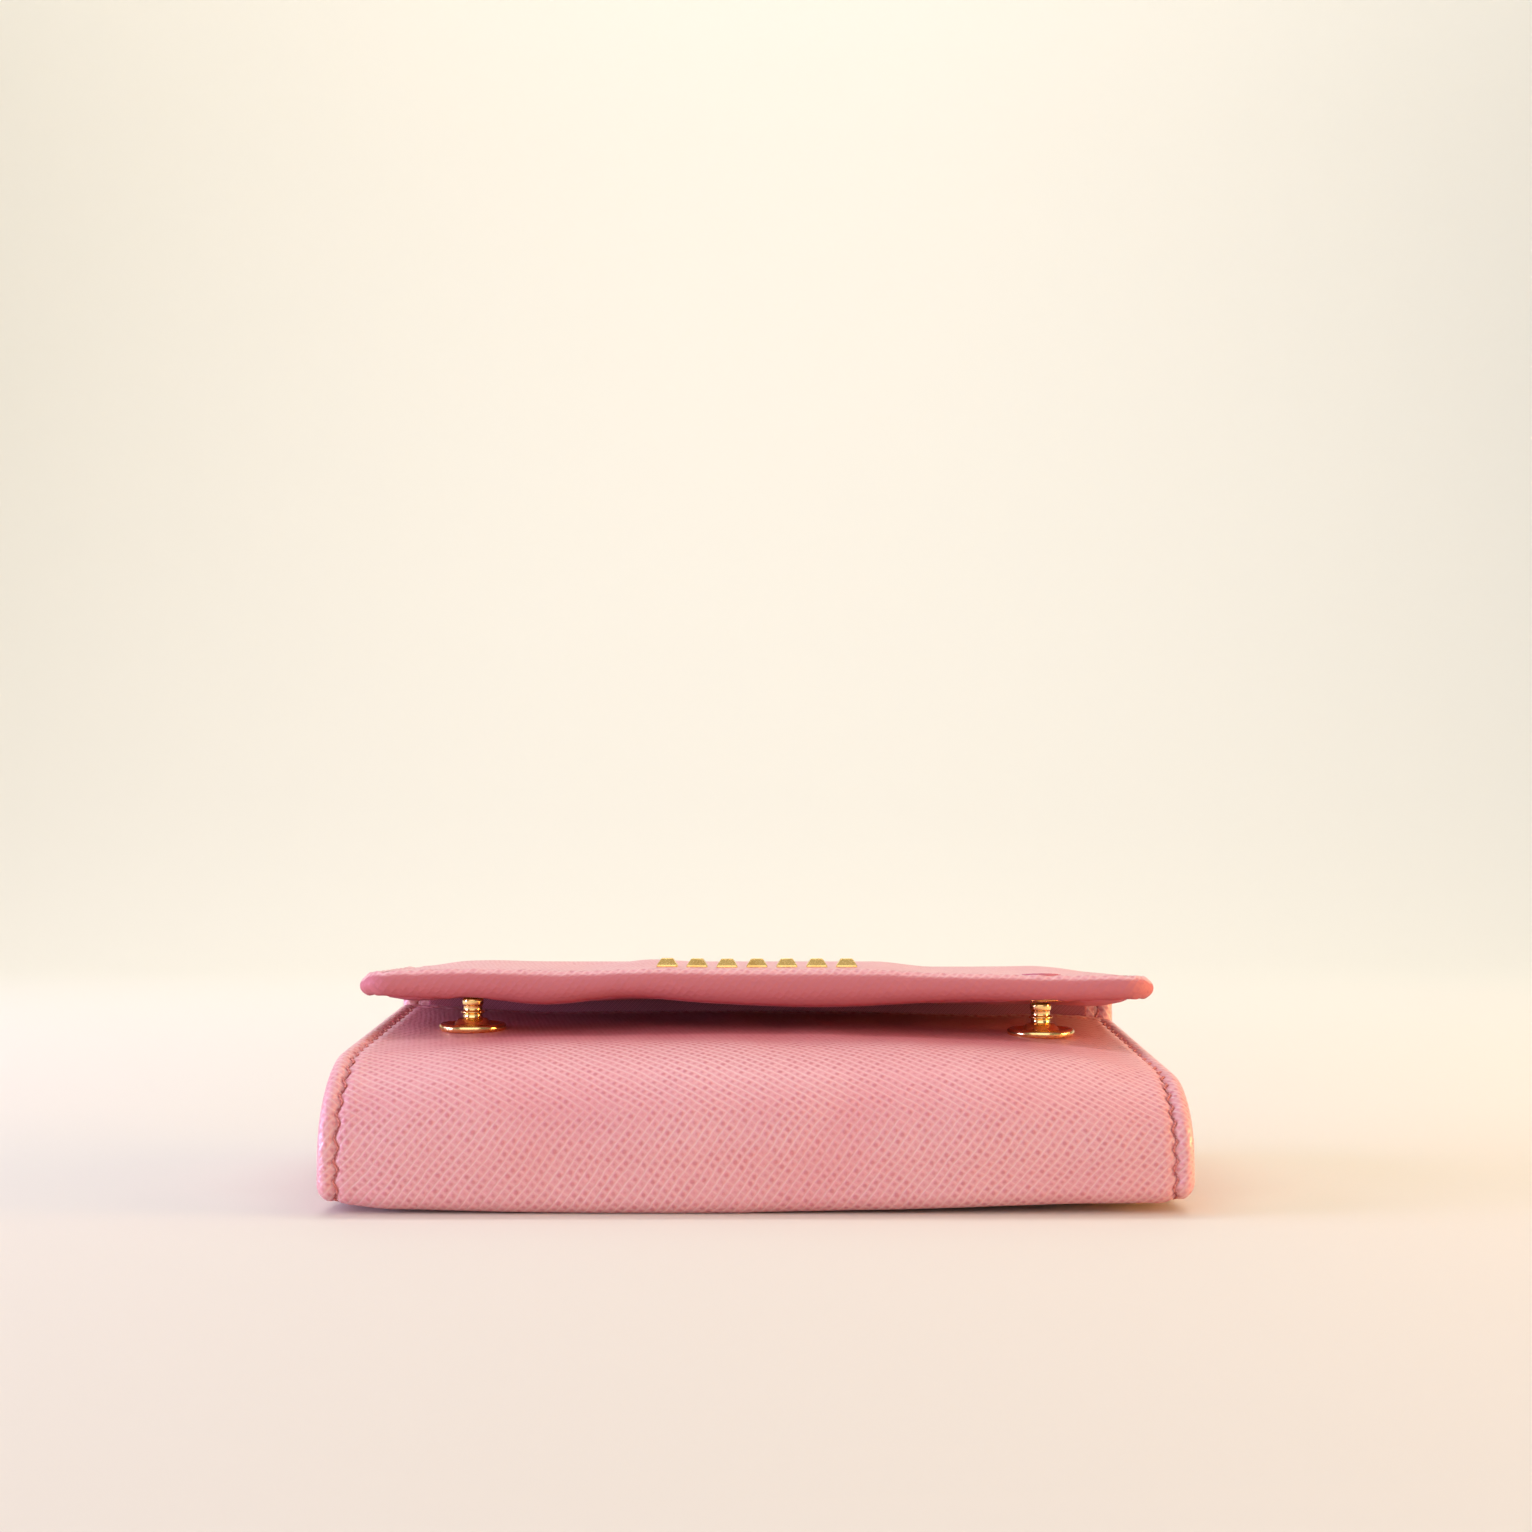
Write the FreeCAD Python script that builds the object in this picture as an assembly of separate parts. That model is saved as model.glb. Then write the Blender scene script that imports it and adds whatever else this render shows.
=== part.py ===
import FreeCAD, Part
import math
import os

# Compact flap wallet, lying on its back panel with the flap folded over the front and resting on
# its two press studs. Millimetres. X runs across the wallet, -Y is the bottom fold, +Y is the top
# spine, Z is up. The origin is on the table under the middle of the wallet.

V = FreeCAD.Vector

# Overall size
width = 110.0             # over the side edges
depth = 66.0              # bottom fold to top spine, over the outer faces
crown_height = 20.4       # front panel's outer face above the table, at mid depth
front_slope = 2.0         # degrees that the front panel rises towards the mouth
mouth_setback = 4.0       # front panel's top edge, in from the top spine's outer face

# Side edges, pressed thinner by their seams
wing_width = 9.0          # strip beside each side edge that tapers
edge_drop = 2.5           # front panel's drop at the side edge
edge_lift = 0.9           # back panel's rise off the table at the side edge
edge_pinch = 0.4          # bottom fold and top spine draw in at the side edge

# Bottom fold: a tight lower bend, a short wall, an easier bend above it and a wider shoulder
lower_radius = 3.5        # bend between the back panel and the wall
fold_height = 7.0         # where the back panel's leather meets the front panel's
fold_radius = 11.0        # bend just above that line
fold_turn = 45.0          # degrees turned by that bend
shoulder_radius = 22.0    # easier bend up onto the front panel

# Layers of a panel, from outside in
leather = 1.1
stiffener = 0.6
lining = 0.5
layer_gap = 0.05          # glue line between two layers
turned_edge = 4.0         # leather turned in round a panel's edge
tool_overrun = 1.0        # how far a cutting solid runs past the face it opens

# Folds that move
joint_gap = 0.3           # between two moving bodies
corner_radius = 1.5       # outer bend where the top spine meets the back panel and the flap
corner_clearance = 0.6    # full thickness of a panel, back from the top spine's inner face

# Flap
flap_length = 39.0        # top spine's outer face to the flap's front edge
flap_filler = 1.9
flap_lining = 1.1
flap_edge = 3.0           # leather rolled round the flap's edge
flap_edge_raise = 1.3     # underside's rise at the side edges
flap_nose_radius = 1.4    # front edge, upper bend
flap_heel_radius = 0.8    # front edge, lower bend
flap_corner_radius = 3.0  # front corners, seen from above

# Press studs on the front panel
snap_inset = 15.0         # stud's middle, in from the side edge
snap_setback = 7.0        # stud's middle, behind the flap's front edge
stud_flange_radius = 4.8
stud_flange = 0.8
stud_flange_bed = 0.1     # flange pressed into the leather
stud_boss_radius = 2.2
stud_boss = 0.9
stud_neck_radius = 1.15
stud_neck = 0.5
stud_bead_radius = 1.4
stud_bead = 0.6
stud_waist_radius = 1.05
stud_waist = 0.8
stud_head_radius = 1.22
stud_head = 0.65
stud_shank_radius = 1.3
stud_cap_radius = 3.0
stud_cap_length = 0.5
fixing_gap = 0.1          # round a shank, cap or cup in its hole

# Sockets in the flap
rest_gap = 0.2            # between a stud's head and its socket's plate while the flap rests on it
socket_offset = 0.2       # socket ahead of its stud, so that the two line up once pressed home
socket_plate_radius = 4.2
socket_plate = 0.35
socket_mouth_radius = 1.65
socket_cup_radius = 2.5
socket_cup_wall = 0.4
socket_cup_height = 2.45
socket_washer_radius = 3.8
socket_washer = 0.4
ring_wire_radius = 0.3
ring_radius = 1.45        # middle of the ring spring's wire

# Trim on the flap: a row of plain facetted studs
trim_count = 7
trim_pitch = 4.3
trim_size = 3.2
trim_top_size = 1.8
trim_height = 1.1
trim_setback = 13.0       # row's middle, behind the flap's front edge
trim_pin_radius = 0.4
trim_plate = 0.4
trim_plate_margin = 0.6

# Inside
gusset = 0.8
gusset_fold_depth = 9.0   # how far the fold reaches in
gusset_edge_setback = 2.0 # gusset's seam, in from the side edge
gusset_clearance = 0.6    # under the front panel, which moves
gusset_end = 11.0         # gusset's and divider's near end, behind the bottom fold
gusset_shoulder = 18.0    # behind the bottom fold, where the front panel turns flat
inner_end_setback = 1.0   # gusset's and divider's top edge, below the mouth
divider = 1.2
divider_height = 10.6     # underside
card_gap = 0.85           # room for a card under a pocket's face
pocket_sheet = 0.6
pocket_inset = 9.0        # pocket's side, in from the side edge
pocket_hem = 2.0
pocket_end = 13.0         # pocket's bottom, behind the bottom fold
rear_pocket_drop = 9.0    # pocket's top edge, below the mouth
middle_pocket_drop = 18.0
slip_pocket_inset = 11.0
slip_pocket_drop = 15.0
slip_pocket_depth = 24.0

# Thread
stitch_inset = 2.5        # seam line, in from an edge
thread_width = 0.6
thread_proud = 0.25
thread_gap = 0.02

# Worked out from the sizes above
half_width = width / 2
wing_start = half_width - wing_width
panel = leather + stiffener + lining + 2 * layer_gap
mouth_y = depth / 2 - mouth_setback
fold_y = -depth / 2
slope = math.radians(front_slope)
turn = math.radians(fold_turn)
flap_front = depth / 2 - flap_length
snap_x = half_width - snap_inset
snap_y = flap_front + snap_setback
stud_height = (stud_flange + stud_boss + stud_neck + stud_bead + stud_waist + stud_head
               - stud_flange_bed)
stud_surface = crown_height + snap_y * math.tan(slope)
flap_under = stud_surface + stud_height + rest_gap + socket_plate
flap_panel = leather + flap_filler + flap_lining + 2 * layer_gap
flap_top = flap_under + flap_panel
layer_end = turned_edge + layer_gap
socket_y = snap_y - socket_offset
trim_y = flap_front + trim_setback


class Section:
    """Sizes of the wallet's cross-section at one place across its width."""

    def __init__(self, x):
        taper = max(0.0, (abs(x) - wing_start) / wing_width)
        self.near = -depth / 2 + edge_pinch * taper
        self.far = depth / 2 - edge_pinch * taper
        self.lift = edge_lift * taper
        self.top = crown_height - edge_drop * taper
        self.panel_end = self.far - panel - corner_clearance
        run = fold_radius * (1 - math.cos(turn)) + shoulder_radius * (math.sin(turn) - math.sin(slope))
        rise = fold_radius * math.sin(turn) + shoulder_radius * (math.cos(slope) - math.cos(turn))
        room = self.top + self.near * math.tan(slope) - fold_height
        scale = room / (rise - run * math.tan(slope))
        self.fold = fold_radius * scale
        self.shoulder = shoulder_radius * scale


def on_arc(x, centre, radius, angle):
    """Point at an angle, in radians from +Y towards +Z, on a circle in the plane of a section."""
    return V(x, centre[0] + radius * math.cos(angle), centre[1] + radius * math.sin(angle))


def arc(x, centre, radius, start, end):
    """Arc of a section, as its first, middle and last points."""
    return tuple(on_arc(x, centre, radius, a) for a in (start, (start + end) / 2, end))


def back_path(x, inset, end_y, above=0.0):
    """Back panel at a depth under its outer face: from the bottom fold's seam to end_y."""
    s = Section(x)
    centre = (s.near + lower_radius, s.lift + lower_radius)
    bend = arc(x, centre, lower_radius - inset, math.pi, 1.5 * math.pi)
    seam = V(x, s.near + inset, fold_height - joint_gap)
    start = [(seam + V(0, 0, above), seam)] if above else []
    return start + [(seam, bend[0]), bend, (bend[2], V(x, end_y, s.lift + inset))]


def front_path(x, inset, end_y, below=0.0):
    """Front panel at a depth under its outer face: from the bottom fold's seam to end_y."""
    s = Section(x)
    lower = (s.near + s.fold, fold_height)
    knee = math.pi - turn
    back = s.shoulder - s.fold
    upper = (lower[0] - back * math.cos(knee), lower[1] - back * math.sin(knee))
    bend = arc(x, lower, s.fold - inset, math.pi, knee)
    shoulder = arc(x, upper, s.shoulder - inset, knee, math.pi / 2 + slope)
    start = [(V(x, s.near + inset, fold_height - below), bend[0])] if below else []
    return start + [bend, (bend[2],) + shoulder[1:], (shoulder[2], on_front(x, end_y, inset))]


def on_front(x, y, inset):
    """Point of the front panel's flat part, at a depth under its outer face."""
    return V(x, y, Section(x).top + y * math.tan(slope) - inset / math.cos(slope))


def front_height(x, y, inset):
    """Height of the front panel at a depth under its outer face, on its flat part or shoulder."""
    path = front_path(x, inset, mouth_y)
    flat_start = path[-1][0]
    if y >= flat_start.y:
        return on_front(x, y, inset).z
    shoulder = Part.Arc(*path[-2]).toShape().Curve
    return shoulder.Center.z + math.sqrt(shoulder.Radius ** 2 - (y - shoulder.Center.y) ** 2)


def wire(segments):
    """Closed wire from lines (two points) and arcs (three points)."""
    make = {2: Part.LineSegment, 3: Part.Arc}
    return Part.Wire([make[len(s)](*s).toShape() for s in segments])


def loop(outer, inner):
    """Closed wire that runs along one path and back along another."""
    back = [tuple(reversed(s)) for s in reversed(inner)]
    return wire(outer + [(outer[-1][-1], back[0][0])] + back + [(back[-1][-1], outer[0][0])])


def loft(wires):
    """Solid with straight rulings through a row of sections."""
    return Part.makeLoft(wires, True, True)


def across(reach):
    """Places across the wallet where a section changes, out to a distance on each side."""
    if reach <= wing_start:
        return [-reach, reach]
    return [-reach, -wing_start, wing_start, reach]


def band(path, places, outer, inner, *limits):
    """Layer between two depths of a panel's path."""
    return loft([loop(path(x, outer, *limits), path(x, inner, *limits)) for x in places])


def flat_path(x, inset, start_y, end_y):
    """Stretch of the front panel's flat part, at a depth under its outer face."""
    return [(on_front(x, start_y, inset), on_front(x, end_y, inset))]


def box(x0, x1, y0, y1, z0, z1):
    """Box between two corners."""
    return Part.makeBox(x1 - x0, y1 - y0, z1 - z0, V(x0, y0, z0))


def turned(profile, base, axis=V(0, 0, 1)):
    """Solid of revolution from (radius, height) points, stood on a base along an axis."""
    outline = Part.makePolygon([V(r, 0, h) for r, h in profile + profile[:1]])
    solid = Part.Face(outline).revolve(V(0, 0, 0), V(0, 0, 1), 360)
    solid.Placement = FreeCAD.Placement(base, FreeCAD.Rotation(V(0, 0, 1), axis))
    return solid


def washer(outer_radius, inner_radius, height, base, axis=V(0, 0, 1)):
    """Flat ring stood on a base."""
    corners = [(inner_radius, 0), (outer_radius, 0), (outer_radius, height), (inner_radius, height)]
    return turned(corners, base, axis)


def disc(radius, height, base, axis=V(0, 0, 1)):
    """Plain cylinder stood on a base."""
    return Part.makeCylinder(radius, height, base, axis)


def mirrored(solid):
    """The same solid on the other side of the wallet."""
    return solid.mirror(V(0, 0, 0), V(1, 0, 0))


# Back panel and the lower half of the bottom fold

def back_panel_leather():
    """Outer leather, turned in round three edges, with the bend that meets the top spine."""
    sections = []
    for x in across(half_width):
        s = Section(x)
        centre = (s.far - corner_radius, s.lift + corner_radius)
        corner = arc(x, centre, corner_radius, 0, -math.pi / 2)
        inside = arc(x, centre, corner_radius - leather, 0, -math.pi / 2)
        along = list(reversed(back_path(x, 0, corner[2].y)))
        outer = [corner] + [tuple(reversed(part)) for part in along]
        step = V(x, s.panel_end, s.lift + leather)
        under = back_path(x, panel, s.panel_end)
        inner = [inside, (inside[2], step), (step, under[-1][-1])]
        inner += [tuple(reversed(part)) for part in reversed(under)]
        sections.append(loop(outer, inner))
    reach = half_width - turned_edge
    limits = (depth / 2 - panel - corner_clearance - turned_edge, tool_overrun)
    pocket = band(back_path, across(reach), leather, panel + tool_overrun, *limits)
    return loft(sections).cut(pocket)


def back_layer(outer, inner):
    """A layer laid inside the back panel's turned edges."""
    end_y = depth / 2 - panel - corner_clearance - layer_end
    return band(back_path, across(half_width - layer_end), outer, inner, end_y)


def back_panel_stiffener():
    return back_layer(leather + layer_gap, leather + layer_gap + stiffener)


def back_panel_lining():
    return back_layer(panel - lining, panel)


# Front panel and the upper half of the bottom fold

def front_panel_leather():
    """Outer leather, turned in at the sides and the mouth, bedded and pierced for the studs."""
    whole = band(front_path, across(half_width), 0, panel, mouth_y)
    limits = (mouth_y - turned_edge, tool_overrun)
    reach = across(half_width - turned_edge)
    pocket = band(front_path, reach, leather, panel + tool_overrun, *limits)
    cuts = [pocket]
    for x in (-snap_x, snap_x):
        cuts.append(stud_cylinder(x, stud_flange_radius + fixing_gap, -stud_flange, stud_flange_bed))
        cuts.append(stud_cylinder(x, stud_shank_radius + fixing_gap, 0, panel))
    return whole.cut(cuts)


def front_layer(outer, inner):
    """A layer laid inside the front panel's turned edges."""
    return band(front_path, across(half_width - layer_end), outer, inner, mouth_y - layer_end)


def front_panel_stiffener():
    """Stiffener, with a hole round each stud's cap."""
    outer = leather + layer_gap
    holes = [stud_cylinder(x, stud_cap_radius + fixing_gap, 0, panel)
             for x in (-snap_x, snap_x)]
    return front_layer(outer, outer + stiffener).cut(holes)


def front_panel_lining():
    return front_layer(panel - lining, panel)


# Press studs

def stud_base(x, inset):
    """Point on a stud's axis, at a depth under the front panel's outer face."""
    normal = stud_axis()
    return on_front(x, snap_y, 0) - normal * inset


def stud_axis():
    """Direction of a stud: square to the front panel."""
    return V(0, -math.sin(slope), math.cos(slope))


def stud_cylinder(x, radius, top_inset, bottom_inset):
    """Cylinder on a stud's axis between two depths under the front panel's outer face."""
    return disc(radius, bottom_inset - top_inset, stud_base(x, bottom_inset), stud_axis())


def snap_stud(x):
    """Flanged stud with its boss, neck, bead, waist and head, and a shank through the leather."""
    steps = [(stud_flange_radius, stud_flange), (stud_boss_radius, stud_boss),
             (stud_neck_radius, stud_neck), (stud_bead_radius, stud_bead),
             (stud_waist_radius, stud_waist), (stud_head_radius, stud_head)]
    shank = leather - stud_flange_bed + stud_cap_length / 2
    profile = [(0, -shank), (stud_shank_radius, -shank), (stud_shank_radius, 0)]
    height = 0
    for radius, length in steps:
        profile += [(radius, height), (radius, height + length)]
        height += length
    return turned(profile + [(0, height)], stud_base(x, stud_flange_bed), stud_axis())


def stud_cap(x):
    """Cap under the leather that the shank is riveted into."""
    bottom = leather + layer_gap + stud_cap_length
    cap = stud_cylinder(x, stud_cap_radius, leather + layer_gap, bottom)
    bore = stud_cylinder(x, stud_shank_radius + fixing_gap, 0, leather + stud_cap_length / 2 + fixing_gap)
    return cap.cut(bore)


# Top spine

def spine_wire(x, outer, inner, overrun=0.0):
    """Section of a layer of the top spine between two depths under its outer face."""
    s = Section(x)
    low = s.lift + corner_radius + joint_gap - overrun
    high = flap_top - corner_radius - joint_gap + overrun
    return Part.makePolygon([V(x, s.far - outer, low), V(x, s.far - inner, low),
                             V(x, s.far - inner, high), V(x, s.far - outer, high),
                             V(x, s.far - outer, low)])


def spine_layer(outer, inner):
    """A layer laid between the top spine's turned side edges."""
    return loft([spine_wire(x, outer, inner) for x in across(half_width - layer_end)])


def top_spine_leather():
    """Outer leather of the spine, turned in at its two side edges."""
    whole = loft([spine_wire(x, 0, panel) for x in across(half_width)])
    reach = across(half_width - turned_edge)
    pocket = loft([spine_wire(x, leather, panel + tool_overrun, tool_overrun) for x in reach])
    return whole.cut(pocket)


def top_spine_stiffener():
    return spine_layer(leather + layer_gap, leather + layer_gap + stiffener)


def top_spine_lining():
    return spine_layer(panel - lining, panel)


# Flap

def flap_section(x):
    """Closed section of the flap's full thickness, with the bend that meets the top spine."""
    s = Section(x)
    rise = max(0.0, (abs(x) - half_width + flap_edge) / flap_edge)
    under = flap_under + flap_edge_raise * rise
    centre = (s.far - corner_radius, flap_top - corner_radius)
    corner = arc(x, centre, corner_radius, 0, math.pi / 2)
    inside = arc(x, centre, corner_radius - leather, 0, math.pi / 2)
    nose_centre = (flap_front + flap_nose_radius, flap_top - flap_nose_radius)
    nose = arc(x, nose_centre, flap_nose_radius, math.pi / 2, math.pi)
    heel_centre = (flap_front + flap_heel_radius, under + flap_heel_radius)
    heel = arc(x, heel_centre, flap_heel_radius, math.pi, 1.5 * math.pi)
    end = V(x, s.panel_end, under)
    step = V(x, s.panel_end, flap_top - leather)
    outer = [corner, (corner[2], nose[0]), nose, (nose[2], heel[0]), heel, (heel[2], end)]
    return loop(outer, [inside, (inside[2], step)])


def flap_plan():
    """Block of the flap's outline seen from above, with its two front corners rounded."""
    low, high = flap_under - tool_overrun, flap_top + tool_overrun
    block = box(-half_width, half_width, flap_front, depth / 2, low, high)
    corners = [e for e in block.Edges
               if abs(e.CenterOfMass.y - flap_front) < layer_gap and e.BoundBox.ZLength > flap_panel]
    return block.makeFillet(flap_corner_radius, corners)


def flap_leather():
    """Outer leather, rolled round three edges, pierced for the trim's pins."""
    places = [-half_width, -half_width + flap_edge, -wing_start]
    whole = loft([flap_section(x) for x in places + [-x for x in reversed(places)]])
    reach = half_width - flap_edge
    end_y = depth / 2 - panel
    low = flap_under - tool_overrun
    pocket = box(-reach, reach, flap_front + flap_edge, end_y, low, flap_top - leather)
    pins = [disc(trim_pin_radius + fixing_gap, flap_panel, V(x, trim_y, flap_under)) for x in trim_places()]
    return whole.common(flap_plan()).cut([pocket] + pins)


def flap_block(low, high):
    """A layer laid inside the flap's rolled edges, between two heights."""
    reach = half_width - flap_edge - layer_gap
    end_y = depth / 2 - edge_pinch - panel - corner_clearance
    return box(-reach, reach, flap_front + flap_edge + layer_gap, end_y, low, high)


def flap_filler_sheet():
    """Padding between leather and lining, cut out for the sockets and the trim's plate."""
    low = flap_under + flap_lining + layer_gap
    high = low + flap_filler
    cuts = [trim_plate_block(fixing_gap)]
    for x in (-snap_x, snap_x):
        cuts.append(disc(socket_cup_radius + fixing_gap, flap_panel, V(x, socket_y, flap_under)))
        base = V(x, socket_y, washer_height() - fixing_gap)
        cuts.append(disc(socket_washer_radius + fixing_gap, flap_panel, base))
    return flap_block(low, high).cut(cuts)


def flap_lining_sheet():
    """Underside of the flap, with a hole round each socket's cup."""
    holes = [disc(socket_cup_radius + fixing_gap, flap_panel, V(x, socket_y, flap_under - tool_overrun))
             for x in (-snap_x, snap_x)]
    return flap_block(flap_under, flap_under + flap_lining).cut(holes)


# Sockets

def snap_socket(x):
    """Plate under the flap with a mouth for the stud, and the cup that takes the stud's head."""
    inner = socket_cup_radius - socket_cup_wall
    roof = socket_cup_height - socket_cup_wall
    profile = [(socket_mouth_radius, -socket_plate), (socket_plate_radius, -socket_plate),
               (socket_plate_radius, 0), (socket_cup_radius, 0), (socket_cup_radius, socket_cup_height),
               (0, socket_cup_height), (0, roof), (inner, roof), (inner, 0), (socket_mouth_radius, 0)]
    return turned(profile, V(x, socket_y, flap_under))


def washer_height():
    """Underside of the washer that clamps a cup to the filler."""
    return flap_under + socket_cup_height - socket_washer


def socket_washer_ring(x):
    inner = socket_cup_radius + fixing_gap
    return washer(socket_washer_radius, inner, socket_washer, V(x, socket_y, washer_height()))


def ring_spring(x):
    """Wire ring in the cup that snaps in under the stud's head."""
    height = flap_under + ring_wire_radius + fixing_gap
    return Part.makeTorus(ring_radius, ring_wire_radius, V(x, socket_y, height))


# Trim

def trim_places():
    """Places of the trim's studs across the flap."""
    return [(i - (trim_count - 1) / 2) * trim_pitch for i in range(trim_count)]


def trim_stud(x):
    """Low square stud with four sloping facets, and the pin under it."""
    def square(size, z):
        h = size / 2
        corners = [(-h, -h), (h, -h), (h, h), (-h, h), (-h, -h)]
        return Part.makePolygon([V(x + dx, trim_y + dy, z) for dx, dy in corners])

    base = flap_top + thread_gap
    body = loft([square(trim_size, base), square(trim_top_size, base + trim_height)])
    pin_end = flap_top - leather - layer_gap - trim_plate
    pin = disc(trim_pin_radius, base + trim_height / 2 - pin_end, V(x, trim_y, pin_end))
    return body.fuse(pin)


def flap_trim():
    return Part.makeCompound([trim_stud(x) for x in trim_places()])


def trim_plate_block(clearance):
    """Block of the strip under the leather that holds the trim's pins, grown by a clearance."""
    reach = (trim_places()[-1] - trim_places()[0]) / 2 + trim_pin_radius + trim_plate_margin + clearance
    half = trim_pin_radius + trim_plate_margin + clearance
    high = flap_top - leather - layer_gap
    return box(-reach, reach, trim_y - half, trim_y + half, high - trim_plate - clearance, high + clearance)


def flap_trim_plate():
    """Strip under the leather with a hole for each of the trim's pins."""
    radius = trim_pin_radius + fixing_gap
    holes = [disc(radius, flap_panel, V(x, trim_y, flap_under)) for x in trim_places()]
    return trim_plate_block(0).cut(holes)


# Inside of the pouch

def right_gusset():
    """Folded side wall: its two edges are sewn to the panels and its fold points inwards."""
    outer_x = half_width - gusset_edge_setback
    apex_x = outer_x - gusset_fold_depth
    middle = divider_height + divider / 2
    low = Section(outer_x).lift + panel + layer_gap
    sections = []
    for y in (fold_y + gusset_end, fold_y + gusset_shoulder, mouth_y - inner_end_setback):
        high = front_height(outer_x, y, panel) - gusset_clearance
        lower = gusset * math.hypot(gusset_fold_depth, middle - low) / gusset_fold_depth
        upper = gusset * math.hypot(gusset_fold_depth, high - middle) / gusset_fold_depth
        inner_x = apex_x + (lower + upper) * gusset_fold_depth / (high - low)
        points = [(outer_x, low), (apex_x, middle), (outer_x, high),
                  (outer_x, high - upper), (inner_x, middle), (outer_x, low + lower), (outer_x, low)]
        sections.append(Part.makePolygon([V(px, y, pz) for px, pz in points]))
    return loft(sections)


def centre_divider():
    """Sheet across the pouch, held by the folds of the two gussets."""
    reach = half_width - gusset_edge_setback - gusset_fold_depth - 2 * fixing_gap
    end_y = mouth_y - inner_end_setback
    return box(-reach, reach, fold_y + gusset_end, end_y, divider_height, divider_height + divider)


def card_pocket(level, drop):
    """Pocket face on hems along its sides and its bottom, on the level of the stack given."""
    low = panel + layer_gap + level * (card_gap + pocket_sheet + layer_gap)
    reach = half_width - pocket_inset
    bottom = fold_y + pocket_end
    top_y = mouth_y - drop
    whole = box(-reach, reach, bottom, top_y, low, low + card_gap + pocket_sheet)
    inner = reach - pocket_hem
    room = box(-inner, inner, bottom + pocket_hem, top_y + tool_overrun, low - tool_overrun, low + card_gap)
    return whole.cut(room)


def slip_pocket():
    """Pocket face under the front panel's lining, on hems along its sides and its bottom."""
    reach = half_width - slip_pocket_inset
    end = mouth_y - slip_pocket_drop
    start = end - slip_pocket_depth
    outer = panel + layer_gap
    whole = band(flat_path, across(reach), outer, outer + card_gap + pocket_sheet, start, end)
    inner = (start + pocket_hem, end + tool_overrun)
    limits = across(reach - pocket_hem)
    room = band(flat_path, limits, outer - tool_overrun, outer + card_gap, *inner)
    return whole.cut(room)


# Thread

def seam_places():
    """The two places across the wallet that a side seam's thread lies between."""
    middle = half_width - stitch_inset
    return [middle - thread_width / 2, middle + thread_width / 2]


def both_sides(solid):
    return [solid, mirrored(solid)]


def back_panel_stitching():
    """Side seams of the back panel, from the top spine round to the bottom fold."""
    end_y = depth / 2 - edge_pinch - corner_radius
    return Part.makeCompound(both_sides(band(back_path, seam_places(), -thread_proud, -thread_gap, end_y)))


def front_panel_stitching():
    """Side seams of the front panel, and the seam along its mouth."""
    end_y = mouth_y - stitch_inset + thread_width / 2
    side = band(front_path, seam_places(), -thread_proud, -thread_gap, end_y)
    limits = (end_y - thread_width, end_y)
    reach = across(seam_places()[0] - thread_gap)
    mouth = band(flat_path, reach, -thread_proud, -thread_gap, *limits)
    return Part.makeCompound(both_sides(side) + [mouth])


def top_spine_stitching():
    """Side seams of the top spine."""
    side = loft([spine_wire(x, -thread_proud, -thread_gap) for x in seam_places()])
    return Part.makeCompound(both_sides(side))


def flap_stitching():
    """Seam round the flap's three free edges, on its upper face."""
    low, high = flap_top + thread_gap, flap_top + thread_proud
    inner, outer = seam_places()
    end_y = depth / 2 - edge_pinch - corner_radius
    start_y = flap_front + stitch_inset - thread_width / 2
    side = box(inner, outer, start_y, end_y, low, high)
    reach = inner - thread_gap
    front = box(-reach, reach, start_y, start_y + thread_width, low, high)
    return Part.makeCompound(both_sides(side) + [front])


nodes = {
    "back_panel_leather": back_panel_leather(),
    "back_panel_stiffener": back_panel_stiffener(),
    "back_panel_lining": back_panel_lining(),
    "back_panel_stitching": back_panel_stitching(),
    "right_gusset": right_gusset(),
    "left_gusset": mirrored(right_gusset()),
    "centre_divider": centre_divider(),
    "rear_card_pocket": card_pocket(0, rear_pocket_drop),
    "middle_card_pocket": card_pocket(1, middle_pocket_drop),
    "front_panel_leather": front_panel_leather(),
    "front_panel_stiffener": front_panel_stiffener(),
    "front_panel_lining": front_panel_lining(),
    "front_panel_stitching": front_panel_stitching(),
    "front_slip_pocket": slip_pocket(),
    "left_snap_stud": snap_stud(-snap_x),
    "right_snap_stud": snap_stud(snap_x),
    "left_stud_cap": stud_cap(-snap_x),
    "right_stud_cap": stud_cap(snap_x),
    "top_spine_leather": top_spine_leather(),
    "top_spine_stiffener": top_spine_stiffener(),
    "top_spine_lining": top_spine_lining(),
    "top_spine_stitching": top_spine_stitching(),
    "flap_leather": flap_leather(),
    "flap_filler": flap_filler_sheet(),
    "flap_lining": flap_lining_sheet(),
    "flap_stitching": flap_stitching(),
    "left_snap_socket": snap_socket(-snap_x),
    "right_snap_socket": snap_socket(snap_x),
    "left_socket_washer": socket_washer_ring(-snap_x),
    "right_socket_washer": socket_washer_ring(snap_x),
    "left_ring_spring": ring_spring(-snap_x),
    "right_ring_spring": ring_spring(snap_x),
    "flap_trim": flap_trim(),
    "flap_trim_plate": flap_trim_plate(),
}

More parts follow.
